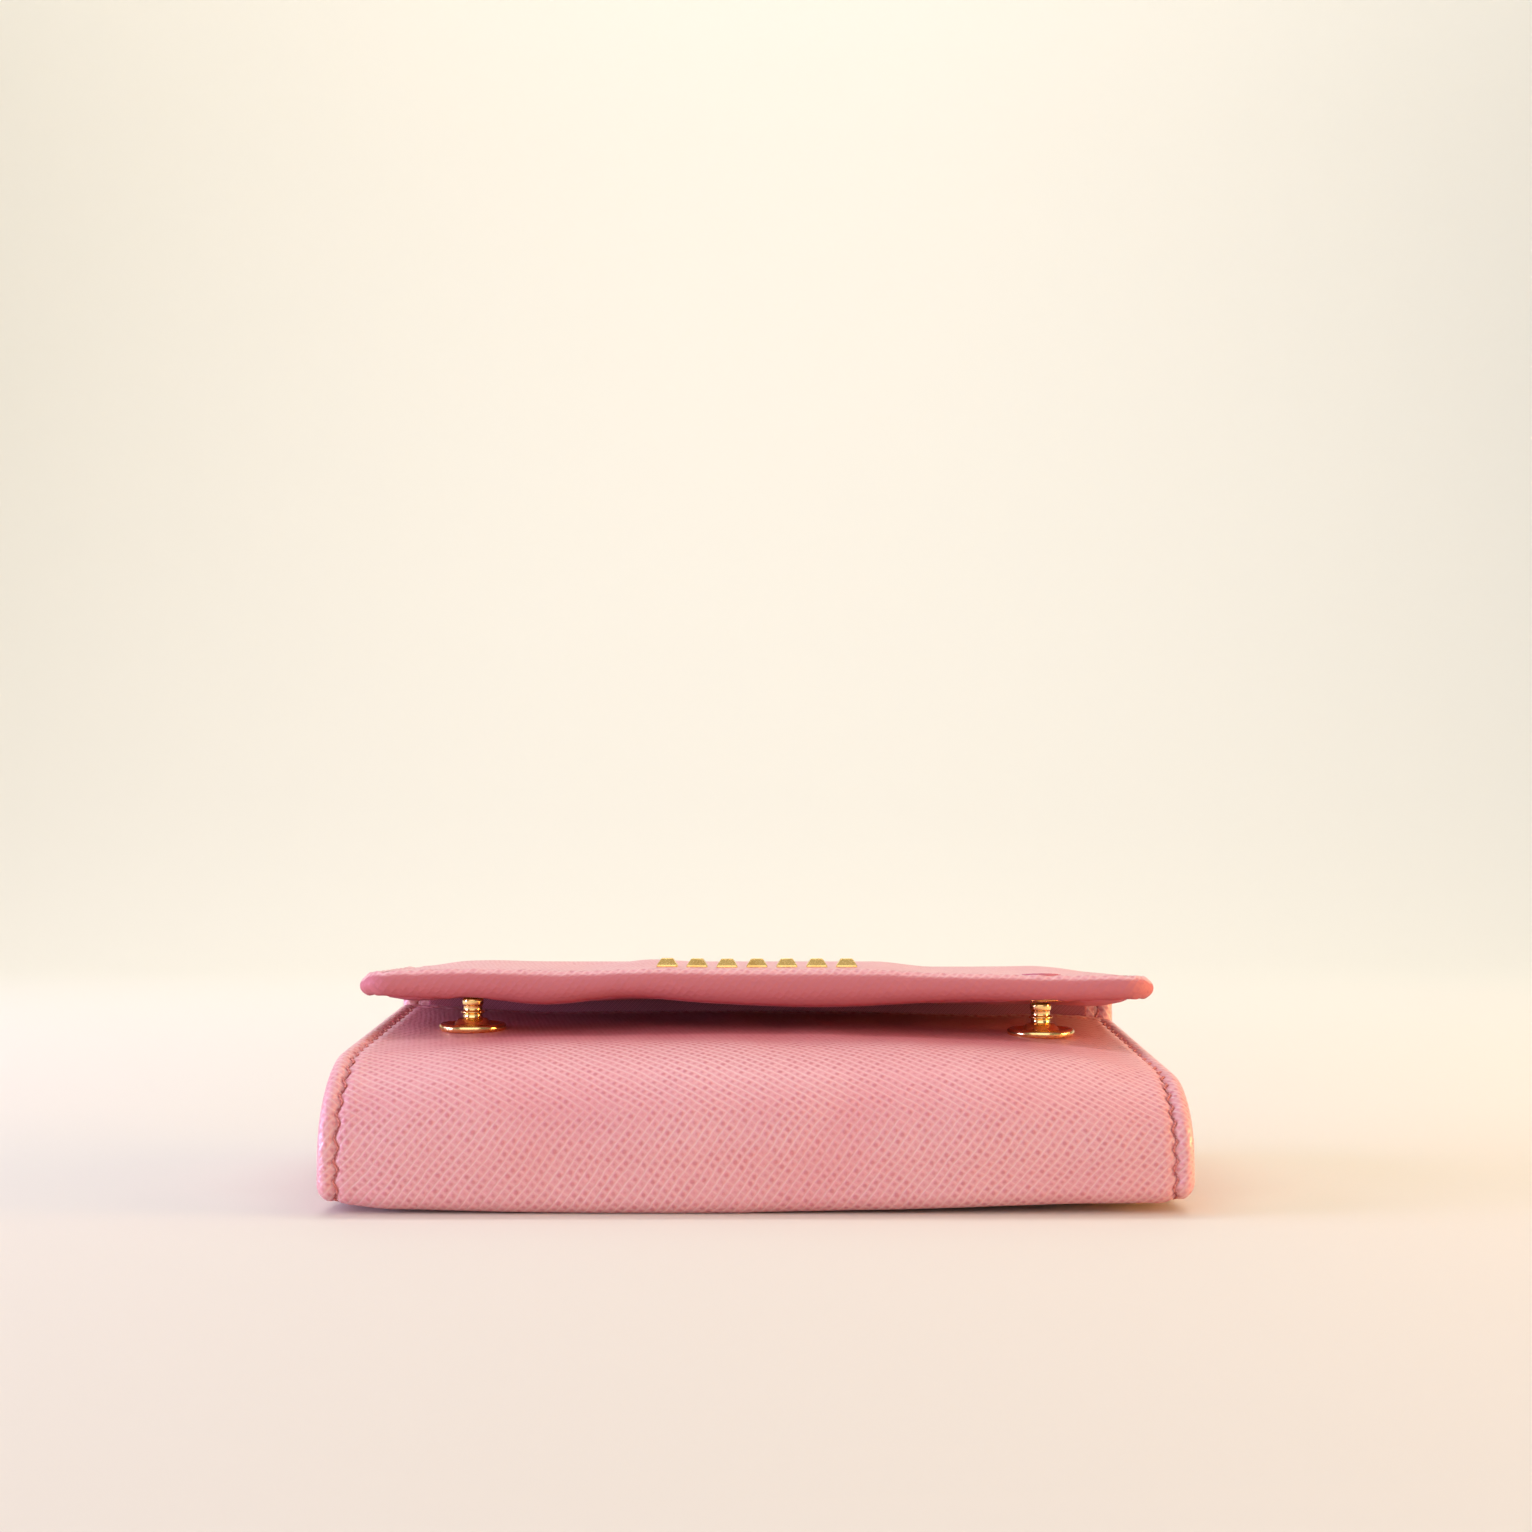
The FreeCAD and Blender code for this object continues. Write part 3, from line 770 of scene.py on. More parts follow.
@dataclass(frozen=True)
class Rim:
    """How a panel's edges are rounded, in millimetres.

    Attributes:
        half: Half the panel's width.
        start: Where the pattern starts; None leaves that edge cut square.
        end: Where the pattern ends; None leaves that edge cut square.
        corner: Radius of its corners, seen flat.
    """

    half: float
    start: float | None = None
    end: float | None = None
    corner: float = 2.4

    def ends(self) -> list[tuple[float, float]]:
        """The rounded ends, each with the direction that leads out over it."""
        both = ((self.start, -1.0), (self.end, 1.0))
        return [(edge, sign) for edge, sign in both if edge is not None]

    def away(self, u: float, v: float) -> float:
        """Distance in from the nearest rounded edge."""
        return min([self.half - abs(u)] + [sign * (edge - v) for edge, sign in self.ends()])

    def round_off(self, u: float, v: float, depth: float, thick: float) -> Point:
        """Turn the square edge of a flat panel into a rolled one.

        Args:
            u: Place across the pattern.
            v: Place along the pattern.
            depth: Depth under the upper face.
            thick: The panel's thickness here.

        Returns:
            The moved place and depth.
        """
        roll = thick / 2
        corner = max(self.corner, roll)
        in_u, in_v, way = max(corner - (self.half - abs(u)), 0.0), 0.0, 1.0
        for edge, sign in self.ends():
            if corner - sign * (edge - v) > in_v:
                in_v, way = corner - sign * (edge - v), sign
        if in_u == 0.0 and in_v == 0.0:
            return u, v, depth
        reach, length = max(in_u, in_v), math.hypot(in_u, in_v)
        out = reach - (corner - roll)
        if out > 0.0:
            off = depth - roll
            shrink = max(out, abs(off)) / math.hypot(out, off)
            reach = corner - roll + out * shrink
            depth = roll + off * shrink
        scale = reach / length
        return u + math.copysign(in_u, u) * (scale - 1), v + way * in_v * (scale - 1), depth


def flat_block(columns: Sequence[float], rows: Sequence[float], layers: int) -> bmesh.types.BMesh:
    """Flat block of a panel: a grid extruded to a unit depth, with its walls cut into layers.

    Args:
        columns: Places across the pattern.
        rows: Places along the pattern.
        layers: How many strips its four walls are cut into.

    Returns:
        A mesh whose vertices hold the place across, the place along and the share of the depth.
    """
    bm = bmesh.new()
    nx, ny = len(columns) - 1, len(rows) - 1
    bmesh.ops.create_grid(bm, x_segments=nx, y_segments=ny, size=0.5)
    for vert in bm.verts:
        x, y = round((vert.co.x + 0.5) * nx), round((vert.co.y + 0.5) * ny)
        vert.co = (columns[x], rows[y], 0.0)
    made = bmesh.ops.extrude_face_region(bm, geom=bm.faces[:], use_keep_orig=True)
    lower = [g for g in made["geom"] if isinstance(g, bmesh.types.BMVert)]
    bmesh.ops.translate(bm, verts=lower, vec=(0.0, 0.0, 1.0))
    walls = [e for e in bm.edges if abs(e.verts[0].co.z - e.verts[1].co.z) > 0.5]
    bmesh.ops.subdivide_edges(bm, edges=walls, cuts=layers - 1, use_grid_fill=True)
    return bm


def finish_mesh(bm: bmesh.types.BMesh, name: str, material: bpy.types.Material,
                rounded: bool = True) -> bpy.types.Object:
    """Turn a mesh's faces outwards and store it as a piece of the scene.

    Args:
        bm: The mesh, in metres.
        name: The piece's name.
        material: Its finish.
        rounded: Whether its faces shade into each other.

    Returns:
        The piece.
    """
    bmesh.ops.recalc_face_normals(bm, faces=bm.faces[:])
    for face in bm.faces:
        face.smooth = rounded
    mesh = bpy.data.meshes.new(name)
    bm.to_mesh(mesh)
    bm.free()
    mesh.materials.append(material)
    piece = bpy.data.objects.new(name, mesh)
    bpy.context.scene.collection.objects.link(piece)
    log.info("%s: %d faces", name, len(mesh.polygons))
    return piece


@dataclass
class Panel:
    """A layer cut flat and then formed, in millimetres.

    Attributes:
        name: The piece's name.
        columns: Places across the pattern.
        rows: Places along the pattern.
        place: Turns a place across, a place along and a depth into a point.
        thick: Thickness at a place of the pattern.
        rim: How its edges are rounded.
        seam: The stitch line round its rounded edges, if it is sewn.
        relief: How far the upper face stands proud at a place of the pattern.
        lean: Which set of the grain's ridges is drawn out at a place, from 0 to 1.
        painted_shade: How much painted shade it gets at a place of the pattern and a share of the
            depth.
        top: Depth of its upper face under the surface that it follows.
        pattern: Where a place along it lies on the pattern of the whole skin.
        layers: Strips round its edge.
    """

    name: str
    columns: Sequence[float]
    rows: Sequence[float]
    place: Place
    thick: Amount
    rim: Rim
    seam: SeamLine | None = None
    relief: Amount = even(0.0)
    lean: Amount = even(0.0)
    painted_shade: Callable[[float, float, float], float] = lambda u, v, share: 0.0
    top: Amount = even(0.0)
    pattern: Callable[[float], float] = lambda v: v
    layers: int = 6

    def build(self, material: bpy.types.Material) -> bpy.types.Object:
        """Cut the panel flat, lay its pattern's UV map, form it and give it its finish.

        Args:
            material: Its finish.

        Returns:
            The piece.
        """
        bm = flat_block(self.columns, self.rows, self.layers)
        uv = bm.loops.layers.uv.new("pattern")
        names = ("edge", "away", "along", "lean", "painted_shade")
        layers = [bm.verts.layers.float.new(name) for name in names]
        flat: dict[bmesh.types.BMVert, Vector] = {}
        self.sharpen(bm)
        for vert in bm.verts:
            u, v, share = vert.co
            thick = self.thick(u, v)
            away, along = self.rim.away(u, v), self.along(u, v)
            flat[vert] = self.unrolled(u, v, share * thick)
            proud = self.relief(u, v) * (1.0 - share)
            if self.seam:
                drawn = self.seam.relief(away, along) * smooth(away, 0.0, 1.3)
                proud += drawn * (1.0 - 1.6 * share)
            values = (1.0 - smooth(away, 0.2, 2.2), away if self.seam else 99.0, along,
                      self.lean(u, v), self.painted_shade(u, v, share))
            for layer, value in zip(layers, values):
                vert[layer] = value
            new_u, new_v, depth = self.rim.round_off(u, v, share * thick, thick)
            vert.co = self.place(new_u, new_v, depth - proud + self.top(u, v)) * MM
        for face in bm.faces:
            for loop in face.loops:
                loop[uv].uv = flat[loop.vert].xy
        return finish_mesh(bm, self.name, material)

    def sharpen(self, bm: bmesh.types.BMesh) -> None:
        """Keep a square-cut end's edges sharp, so that the next piece's skin runs on from it.

        Args:
            bm: The panel's flat block.
        """
        both = ((self.rows[0], self.rim.start), (self.rows[-1], self.rim.end))
        ends = [at for at, rim in both if rim is None]
        cut = {f for f in bm.faces for at in ends
               if all(abs(v.co.y - at) < 1e-6 for v in f.verts)}
        for edge in {e for f in cut for e in f.edges}:
            edge.smooth = all(f in cut for f in edge.link_faces)

    def along(self, u: float, v: float) -> float:
        """Distance along the nearest rounded edge."""
        ends = [(sign * (edge - v), u) for edge, sign in self.rim.ends()]
        return min([(self.rim.half - abs(u), v)] + ends)[1]

    def unrolled(self, u: float, v: float, depth: float) -> Vector:
        """Lay out the turned-in strip flat.

        Args:
            u: Place across the pattern.
            v: Place along the pattern.
            depth: Depth under the upper face.

        Returns:
            The place on the flat pattern, in metres.
        """
        out_u = math.copysign(depth, u) if self.rim.half - abs(u) < depth + 0.5 else 0.0
        out_v = depth if self.rim.end is not None and self.rim.end - v < depth + 0.5 else 0.0
        return Vector((u + out_u, self.pattern(v + out_v))) * MM


def soften(profile: Sequence[tuple[float, float]], radius: float) -> list[tuple[float, float]]:
    """Round the corners of a turned profile.

    Args:
        profile: Corners as (radius, height).
        radius: How far a corner's rounding reaches, at most.

    Returns:
        The profile with three points in place of each inner corner.
    """
    points = [Vector(p) for p in profile]
    made = [points[0]]
    for before, corner, after in zip(points, points[1:], points[2:]):
        reach = min(radius, (before - corner).length * 0.45, (after - corner).length * 0.45)
        first = corner + (before - corner).normalized() * reach
        last = corner + (after - corner).normalized() * reach
        made += [first, (first + last) / 4 + corner / 2, last]
    return [tuple(p) for p in made + [points[-1]]]


def turned(name: str, profile: Sequence[tuple[float, float]], seat: Matrix,
           material: bpy.types.Material, facets: int = 56) -> bpy.types.Object:
    """Turned piece: a profile spun once round its axis.

    Args:
        name: The piece's name.
        profile: Points as (radius, height), from the axis back to the axis, in millimetres.
        seat: Where the piece stands, in millimetres.
        material: Its finish.
        facets: Facets round the axis.

    Returns:
        The piece.
    """
    bm = bmesh.new()
    verts = [bm.verts.new((radius, 0.0, height)) for radius, height in profile]
    edges = [bm.edges.new(pair) for pair in zip(verts, verts[1:])]
    bmesh.ops.spin(bm, geom=verts + edges, cent=(0, 0, 0), axis=(0, 0, 1), angle=2 * math.pi,
                   steps=facets, use_merge=True)
    bmesh.ops.remove_doubles(bm, verts=bm.verts[:], dist=0.0005)
    bmesh.ops.transform(bm, matrix=Matrix.Scale(MM, 4) @ seat, verts=bm.verts[:])
    return finish_mesh(bm, name, material)


def settle(piece: bpy.types.Object, nodes: Sequence[str], body: Body,
           bend: tuple[Body, Point, Point] | None = None) -> None:
    """Hide the CAD nodes that a piece stands for, and put it on its body unless it is given a
    bend.

    Args:
        piece: The piece.
        nodes: The CAD nodes that it stands for.
        body: The body that it rides on; not used for a piece given a bend.
        bend: The body that the piece would end on and its bend's two ends; only whether it is
            given is read, and such a piece is only baked in place.
    """
    if nodes:
        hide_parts(*nodes)
    if bend is None:
        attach(piece, body.value)
    else:
        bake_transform(piece)


# ---------------------------------------------------------------------------------------------
# Shape of the folded wallet
# ---------------------------------------------------------------------------------------------


@dataclass(frozen=True)
class Station:
    """Sizes of the wallet's cross-section at one place across its width.

    Attributes:
        near: The front wall's face.
        far: The top spine's face.
        lift: How far the bottom fold stands off the floor.
        top: Height of the front panel's plane at the middle of the wallet.
        slope: The front panel's rise towards the top spine, in radians.
    """

    near: float
    far: float
    lift: float
    top: float
    slope: float


@dataclass(frozen=True)
class Shape:
    """The folded wallet's outer surface, in millimetres.

    The pouch's path runs from the far end of the back panel round the bottom fold to the mouth.
    The spine's path runs from the back panel up the top spine. The flap's path runs from the
    middle of the top spine over the top to the flap's front edge. The right side is pressed
    flatter than the left, and the flap hangs lower there. Contours named left are read outwards
    from the middle, as those named right are.
    """

    half: float
    near: float
    far: float
    mouth: float
    flap_front: float
    flap_top: float
    flap_thick: float
    stud_x: float
    stud_y: float
    socket_y: float
    panel: float = 2.3
    crown: float = 20.9
    left_fall: float = 0.25
    right_fall: float = 1.0
    left_press: float = -0.2
    right_press: float = 0.85
    slope: float = math.radians(1.8)
    edge_slope: float = math.radians(4.5)
    edge_pinch: float = 0.4
    lower_radius: float = 2.0
    wall_top: float = 7.2
    bend_radius: float = 10.6
    bend_turn: float = math.radians(45)
    shoulder_radius: float = 21.5
    back_end: float = 28.5
    spine_split: float = 14.0
    foot_radius: float = 1.9
    top_radius: float = 2.3
    tip_thick: float = 2.65
    left_bed: float = 0.95
    right_bed: float = 1.05
    bore_depth: float = 2.4
    flap_flare: float = 0.45
    left_lift: Contour = Contour(steps=((20, 48, 0.5),), curls=((46, 9, 1.4),))
    right_lift: Contour = Contour(steps=((-8, 52, 1.25),), curls=((50, 5, 1.0),))
    left_back: Contour = Contour(steps=((44.5, 54, 0.95),), humps=((41, 5, -0.2),))
    left_front: Contour = Contour(steps=((52.5, 55, 0.4),), curls=((40, 15, 0.5),))
    right_back: Contour = Contour(steps=((18, 27, 0.8),), curls=((42, 13.5, 2.0),),
                                  humps=((48, 8, -0.2),))
    right_front: Contour = Contour(curls=((22, 33, 1.1),))
    hollow: Contour = Contour(steps=((14, 26, 0.5), (40, 52, -0.5)))
    ripple: Contour = Contour(humps=((-25, 7, -0.42), (-13, 6, 0.2)))
    rear_ripple: Contour = Contour(humps=((-17, 4.5, 0.5),))
    front_sag: Contour = Contour(humps=((10, 17, 1.25), (38, 7, 0.15), (-30, 5, 0.55),
                                        (-18, 6, -0.55)))

    def station(self, x: float) -> Station:
        """Cross-section at one place across the wallet.

        Args:
            x: The place.

        Returns:
            Its sizes.
        """
        a = abs(x)
        left = x < 0
        fall = self.left_fall if left else self.right_fall
        press = self.left_press if left else self.right_press
        pinch = self.edge_pinch * smooth(a, 44, self.half)
        return Station(
            near=self.near + pinch,
            far=self.far - pinch,
            lift=self.left_lift.at(a) if left else self.right_lift.at(a),
            top=self.crown - fall * (a / 40) ** 2 - press * curl(a, 42, 13),
            slope=self.slope + (self.edge_slope - self.slope) * smooth(a, 30, self.half),
        )

    def bends(self, s: Station) -> tuple[Vector, float, Vector, float]:
        """Draw in the two upper bends so that they end on the front panel's line.

        Args:
            s: The cross-section.

        Returns:
            Centre and radius of the lower bend and of the upper one.
        """
        turned_by, end = self.bend_turn, s.slope
        run = self.bend_radius * (1 - math.cos(turned_by))
        run += self.shoulder_radius * (math.sin(turned_by) - math.sin(end))
        rise = self.bend_radius * math.sin(turned_by)
        rise += self.shoulder_radius * (math.cos(end) - math.cos(turned_by))
        room = s.top + s.near * math.tan(end) - self.wall_top
        scale = room / (rise - run * math.tan(end))
        bend, shoulder = self.bend_radius * scale, self.shoulder_radius * scale
        lower = Vector((s.near + bend, self.wall_top))
        knee = math.pi - turned_by
        upper = lower - (shoulder - bend) * Vector((math.cos(knee), math.sin(knee)))
        return lower, bend, upper, shoulder

    def front_start(self, s: Station) -> float:
        """Where along Y the front panel turns flat."""
        _, _, upper, shoulder = self.bends(s)
        return upper.x - shoulder * math.sin(s.slope)

    def front_height(self, x: float, y: float) -> float:
        """Height of the front panel's outer face.

        Args:
            x: Place across the wallet.
            y: Place from the bottom fold to the mouth.

        Returns:
            The height.
        """
        s = self.station(x)
        if y >= self.front_start(s):
            return s.top + y * math.tan(s.slope)
        _, _, upper, shoulder = self.bends(s)
        return upper.y + math.sqrt(max(0.0, shoulder ** 2 - (y - upper.x) ** 2))

    def pouch_spans(self) -> list[float]:
        """Lengths of the pouch path's stretches at the middle of the wallet.

        Returns:
            Back panel, lower fold, wall, lower bend, upper bend and front panel.
        """
        s = self.station(0)
        _, bend, _, shoulder = self.bends(s)
        return [
            self.back_end - s.near - self.lower_radius,
            self.lower_radius * math.pi / 2,
            self.wall_top - self.lower_radius,
            bend * self.bend_turn,
            shoulder * (self.bend_turn - s.slope),
            (self.mouth - self.front_start(s)) / math.cos(s.slope),
        ]

    def pouch_end(self) -> float:
        """Length of the pouch's path."""
        return sum(self.pouch_spans())

    def pouch(self, x: float, v: float, depth: float) -> Vector:
        """Point of the pouch's skin.

        Args:
            x: Place across the wallet.
            v: Place along the pouch's path.
            depth: Depth under the outer face.

        Returns:
            The point.
        """
        s = self.station(x)
        spans = self.pouch_spans()
        k = 0
        while k < len(spans) - 1 and v > spans[k]:
            v -= spans[k]
            k += 1
        t = v / spans[k]
        low, floor = s.near + self.lower_radius, s.lift + self.lower_radius
        if k == 0:
            return Vector((x, self.back_end + (low - self.back_end) * t, s.lift * t * t + depth))
        if k == 1:
            angle, arm = math.pi * (1.5 - 0.5 * t), max(self.lower_radius - depth, 0.05)
            return Vector((x, low + arm * math.cos(angle), floor + arm * math.sin(angle)))
        if k == 2:
            return Vector((x, s.near + depth, floor + (self.wall_top - floor) * t))
        lower, bend, upper, shoulder = self.bends(s)
        knee, end = math.pi - self.bend_turn, math.pi / 2 + s.slope
        centre, radius, angle = lower, bend, math.pi - self.bend_turn * t
        if k > 3:
            centre, radius, angle = upper, shoulder, knee + (end - knee) * (t if k == 4 else 1.0)
        arm = radius - depth
        run = (self.mouth - self.front_start(s)) * t if k == 5 else 0.0
        return Vector((x, centre.x + arm * math.cos(angle) + run,
                       centre.y + arm * math.sin(angle) + run * math.tan(s.slope)))

    def front_v(self, x: float, y: float) -> float:
        """Place along the pouch's path of a point on the front panel's flat part."""
        start = self.front_start(self.station(x))
        return self.pouch_end() - (self.mouth - y) / (self.mouth - start) * self.pouch_spans()[5]

    def spine_spans(self) -> list[float]:
        """Lengths of the spine path's stretches at the middle of the wallet."""
        return [self.far - self.foot_radius - self.back_end, self.foot_radius * math.pi / 2,
                self.spine_split - self.foot_radius]

    def spine(self, x: float, v: float, depth: float) -> Vector:
        """Point of the top spine's skin, below its middle.

        Args:
            x: Place across the wallet.
            v: Place along the spine's path.
            depth: Depth under the outer face.

        Returns:
            The point.
        """
        far, low = self.station(x).far, self.foot_radius
        flat, bend, wall = self.spine_spans()
        if v <= flat:
            return Vector((x, self.back_end + (far - low - self.back_end) * v / flat, depth))
        if v <= flat + bend:
            angle, arm = -math.pi / 2 + (v - flat) / low, max(low - depth, 0.05)
            return Vector((x, far - low + arm * math.cos(angle), low + arm * math.sin(angle)))
        return Vector((x, far - depth, low + (self.spine_split - low) * (v - flat - bend) / wall))

    def flap_spans(self) -> list[float]:
        """Lengths of the flap path's stretches at the middle of the wallet."""
        return [self.flap_top - self.top_radius - self.spine_split, self.top_radius * math.pi / 2,
                self.far - self.top_radius - self.flap_front]

    def flap_end(self) -> float:
        """Length of the flap's path."""
        return sum(self.flap_spans())

    def flap_v(self, y: float) -> float:
        """Place along the flap's path of a point on its flat part."""
        return self.flap_end() - (y - self.flap_front)

    def flap(self, x: float, v: float, depth: float) -> Vector:
        """Point of the flap's skin, from the middle of the top spine to its front edge.

        Args:
            x: Place across the wallet.
            v: Place along the flap's path.
            depth: Depth under the outer face.

        Returns:
            The point.
        """
        far, radius, split = self.station(x).far, self.top_radius, self.spine_split
        wall, bend, flat = self.flap_spans()
        top = self.flap_top - self.droop(x, 0.0)
        if v <= wall:
            return Vector((x, far - depth, split + (top - radius - split) * v / wall))
        if v <= wall + bend:
            angle, arm = (v - wall) / radius, max(radius - depth, 0.05)
            return Vector((x, far - radius + arm * math.cos(angle),
                           top - radius + arm * math.sin(angle)))
        t = (v - wall - bend) / flat
        y = far - radius + (self.flap_front - far + radius) * t
        flare = self.flap_flare * smooth(abs(x), 46, self.half) * smooth(t, 0.1, 0.6)
        height = self.flap_top - self.droop(x, t) + self.swell(x, t)
        return Vector((x + math.copysign(flare, x), y, height - depth))

    def droop(self, x: float, t: float) -> float:
        """How far the flap's ends hang down.

        Args:
            x: Place across the wallet.
            t: Share of the way from the spine to the flap's front edge.

        Returns:
            The distance down.
        """
        if x > 0:
            back, front = self.right_back.at(x), self.right_front.at(x) + self.hollow.at(x)
        else:
            back, front = self.left_back.at(-x), self.left_front.at(-x)
        return back + (front - back) * min(1.0, t)

    def swell(self, x: float, t: float) -> float:
        """Slow rise and fall of the flap's upper face.

        Args:
            x: Place across the wallet.
            t: Share of the way from the spine to the flap's front edge.

        Returns:
            The distance up.
        """
        waves = 0.16 * wave(x / 21, t * 1.6, 3.1) + self.ripple.at(x)
        waves += self.rear_ripple.at(x) * (1 - smooth(t, 0.2, 0.6))
        return smooth(t, 0.0, 0.15) * (1 - 0.55 * t) * waves

    def lip(self, x: float) -> float:
        """Thickness of the flap's front edge, which sags in the middle.

        Args:
            x: Place across the wallet.

        Returns:
            The thickness.
        """
        full = 1.1 - 0.35 * smooth(x, -10, 30)
        plain = self.tip_thick + full * (1 - (abs(x) / self.half) ** 8)
        plain += 0.25 * (1 - smooth(abs(x), 42, 54)) - self.hollow.at(x)
        return plain + self.front_sag.at(x)

    def flap_thickness(self, x: float, v: float) -> float:
        """Thickness of the spine's upper half and the flap, less the room for the sockets.

        Args:
            x: Place across the wallet.
            v: Place along the flap's path.

        Returns:
            The thickness.
        """
        wall, bend, _ = self.flap_spans()
        inwards = smooth(self.half - abs(x), 0.0, 7.0)
        middle = self.tip_thick + (self.flap_thick - self.tip_thick) * inwards
        lip = self.lip(x)
        thick = lip + (middle - lip) * smooth(self.flap_end() - v, 2.0, 11.0)
        thick -= self.bed(x) * (1.0 - smooth(self.off_socket(x, v), 4.3, 6.2))
        thick -= self.bore_depth * self.bore(x, v)
        return self.panel + (thick - self.panel) * smooth(v, wall + bend + 0.4, wall + bend + 3.4)

    def off_socket(self, x: float, v: float) -> float:
        """How far a place on the flap is from the middle of the nearest socket."""
        y = self.flap_end() - v + self.flap_front
        return math.hypot(abs(x) - self.stud_x, y - self.socket_y)

    def bore(self, x: float, v: float) -> float:
        """How fully a place lies over a socket's cup, from 0 to 1."""
        return 1.0 - smooth(self.off_socket(x, v), 3.0, 3.6)

    def bed(self, x: float) -> float:
        """How far a socket is let into the flap's underside."""
        return self.left_bed if x < 0 else self.right_bed

    def seat(self, place: Place, u: float, v: float, depth: float) -> Matrix:
        """Frame that stands square on a surface, with its Z axis outwards and X across.

        Args:
            place: The surface's form.
            u: Place across.
            v: Place along.
            depth: Depth under the upper face.

        Returns:
            The frame, in millimetres.
        """
        at = place(u, v, depth)
        across = (place(u + 2.5, v, depth) - place(u - 2.5, v, depth)).normalized()
        out = (place(u, v, depth - 1.0) - at).normalized()
        along = out.cross(across).normalized()
        out = across.cross(along)
        turn = Matrix((across, along, out)).transposed().to_4x4()
        return Matrix.Translation(at) @ turn


def wallet_shape() -> Shape:
    """Read the wallet's sizes from the frame.

    Returns:
        The wallet's shape.
    """
    back_low, back_high = node_box("back_panel_leather")
    _, front_high = node_box("front_panel_leather")
    flap_low, flap_high = node_box("flap_leather")
    stud_low, stud_high = node_box("right_snap_stud")
    socket_low, socket_high = node_box("right_snap_socket")
    stud, socket = (stud_low + stud_high) / 2, (socket_low + socket_high) / 2
    return Shape(
        half=back_high.x, near=back_low.y, far=back_high.y, mouth=front_high.y,
        flap_front=flap_low.y, flap_top=flap_high.z, flap_thick=flap_high.z - flap_low.z,
        stud_x=stud.x, stud_y=stud.y, socket_y=socket.y,
    )


def mirrored_places(right: Sequence[float]) -> list[float]:
    """Places on both sides of the middle, from those of the right side that start past 0."""
    return [-x for x in reversed(right)] + [0.0] + list(right)


def seam_rows(end: float) -> list[tuple[float, float]]:
    """Starts and spacings of the rows at a sewn edge."""
    return [(end - 5.0, 0.55), (end - 3.2, 0.17), (end - 1.9, 0.4), (end - 1.0, 0.25)]


def seam_columns(half: float, middle: Sequence[tuple[float, float]]) -> list[float]:
    """Places across a sewn skin, close together at its side seams.

    Args:
        half: Half the skin's width.
        middle: Start and spacing of the spans between the middle and the seam.

    Returns:
        The places.
    """
    return mirrored_places(graded(*middle, *seam_rows(half), end=half)[1:])


# ---------------------------------------------------------------------------------------------
# Sub-assemblies
# ---------------------------------------------------------------------------------------------


@dataclass(frozen=True)
class Stitcher:
    """Lays separate stitches along the seams of a formed skin, in millimetres."""

    seam: SeamLine = SeamLine()
    thick: float = 0.19
    length: float = 2.5
    sunk: float = 0.20

    def beats(self, start: float, end: float) -> list[float]:
        """Middles of the stitches whose holes fall on whole pitches between two places."""
        pitch = self.seam.pitch
        return [(k + 0.5) * pitch for k in range(math.ceil(start / pitch), int(end / pitch))]

    def lay(self, name: str, rim: Rim, length: float, place: Place, thick: Amount,
            material: bpy.types.Material) -> bpy.types.Object:
        """Make the stitches of a skin's side seams, and of its end where that is rounded.

        Args:
            name: The piece's name.
            rim: The skin's edges.
            length: Length of the side seams.
            place: The skin's form.
            thick: The skin's thickness.
            material: The thread's finish.

        Returns:
            The stitches on both faces as one piece.
        """
        side, inset = rim.half - self.seam.inset, self.seam.inset
        last = length - inset if rim.end is not None else length
        spots = [(lambda along, away, sign=sign: (sign * (rim.half - away), along), beat)
                 for sign in (-1, 1) for beat in self.beats(0.0, last)]
        if rim.end is not None:
            spots += [(lambda along, away: (along, length - away), beat)
                      for beat in self.beats(-side, side)]
        bm = bmesh.new()
        for trace, beat in spots:
            deepest = thick(*trace(beat, inset))
            for depth in (self.sunk, deepest - self.sunk * 0.7):
                self.stitch(bm, place, trace, beat, depth)
        return finish_mesh(bm, name, material)

    def stitch(self, bm: bmesh.types.BMesh, place: Place, trace: Trace, beat: float,
               depth: float) -> None:
        """Add one stitch that lies in the seam's crease.

        Args:
            bm: The mesh to add to.
            place: The skin's form.
            trace: Turns a place along the seam and one in from it into a place of the pattern.
            beat: The stitch's middle along the seam.
            depth: Its depth under the skin's upper face.
        """
        made = bmesh.ops.create_uvsphere(bm, u_segments=7, v_segments=6, radius=1.0)
        for vert in made["verts"]:
            reach, side, up = vert.co.z, vert.co.x, vert.co.y
            along = beat + reach * self.length / 2
            u, v = trace(along, self.seam.centre(along) + side * self.thick)
            vert.co = place(u, v, depth - up * self.thick) * MM


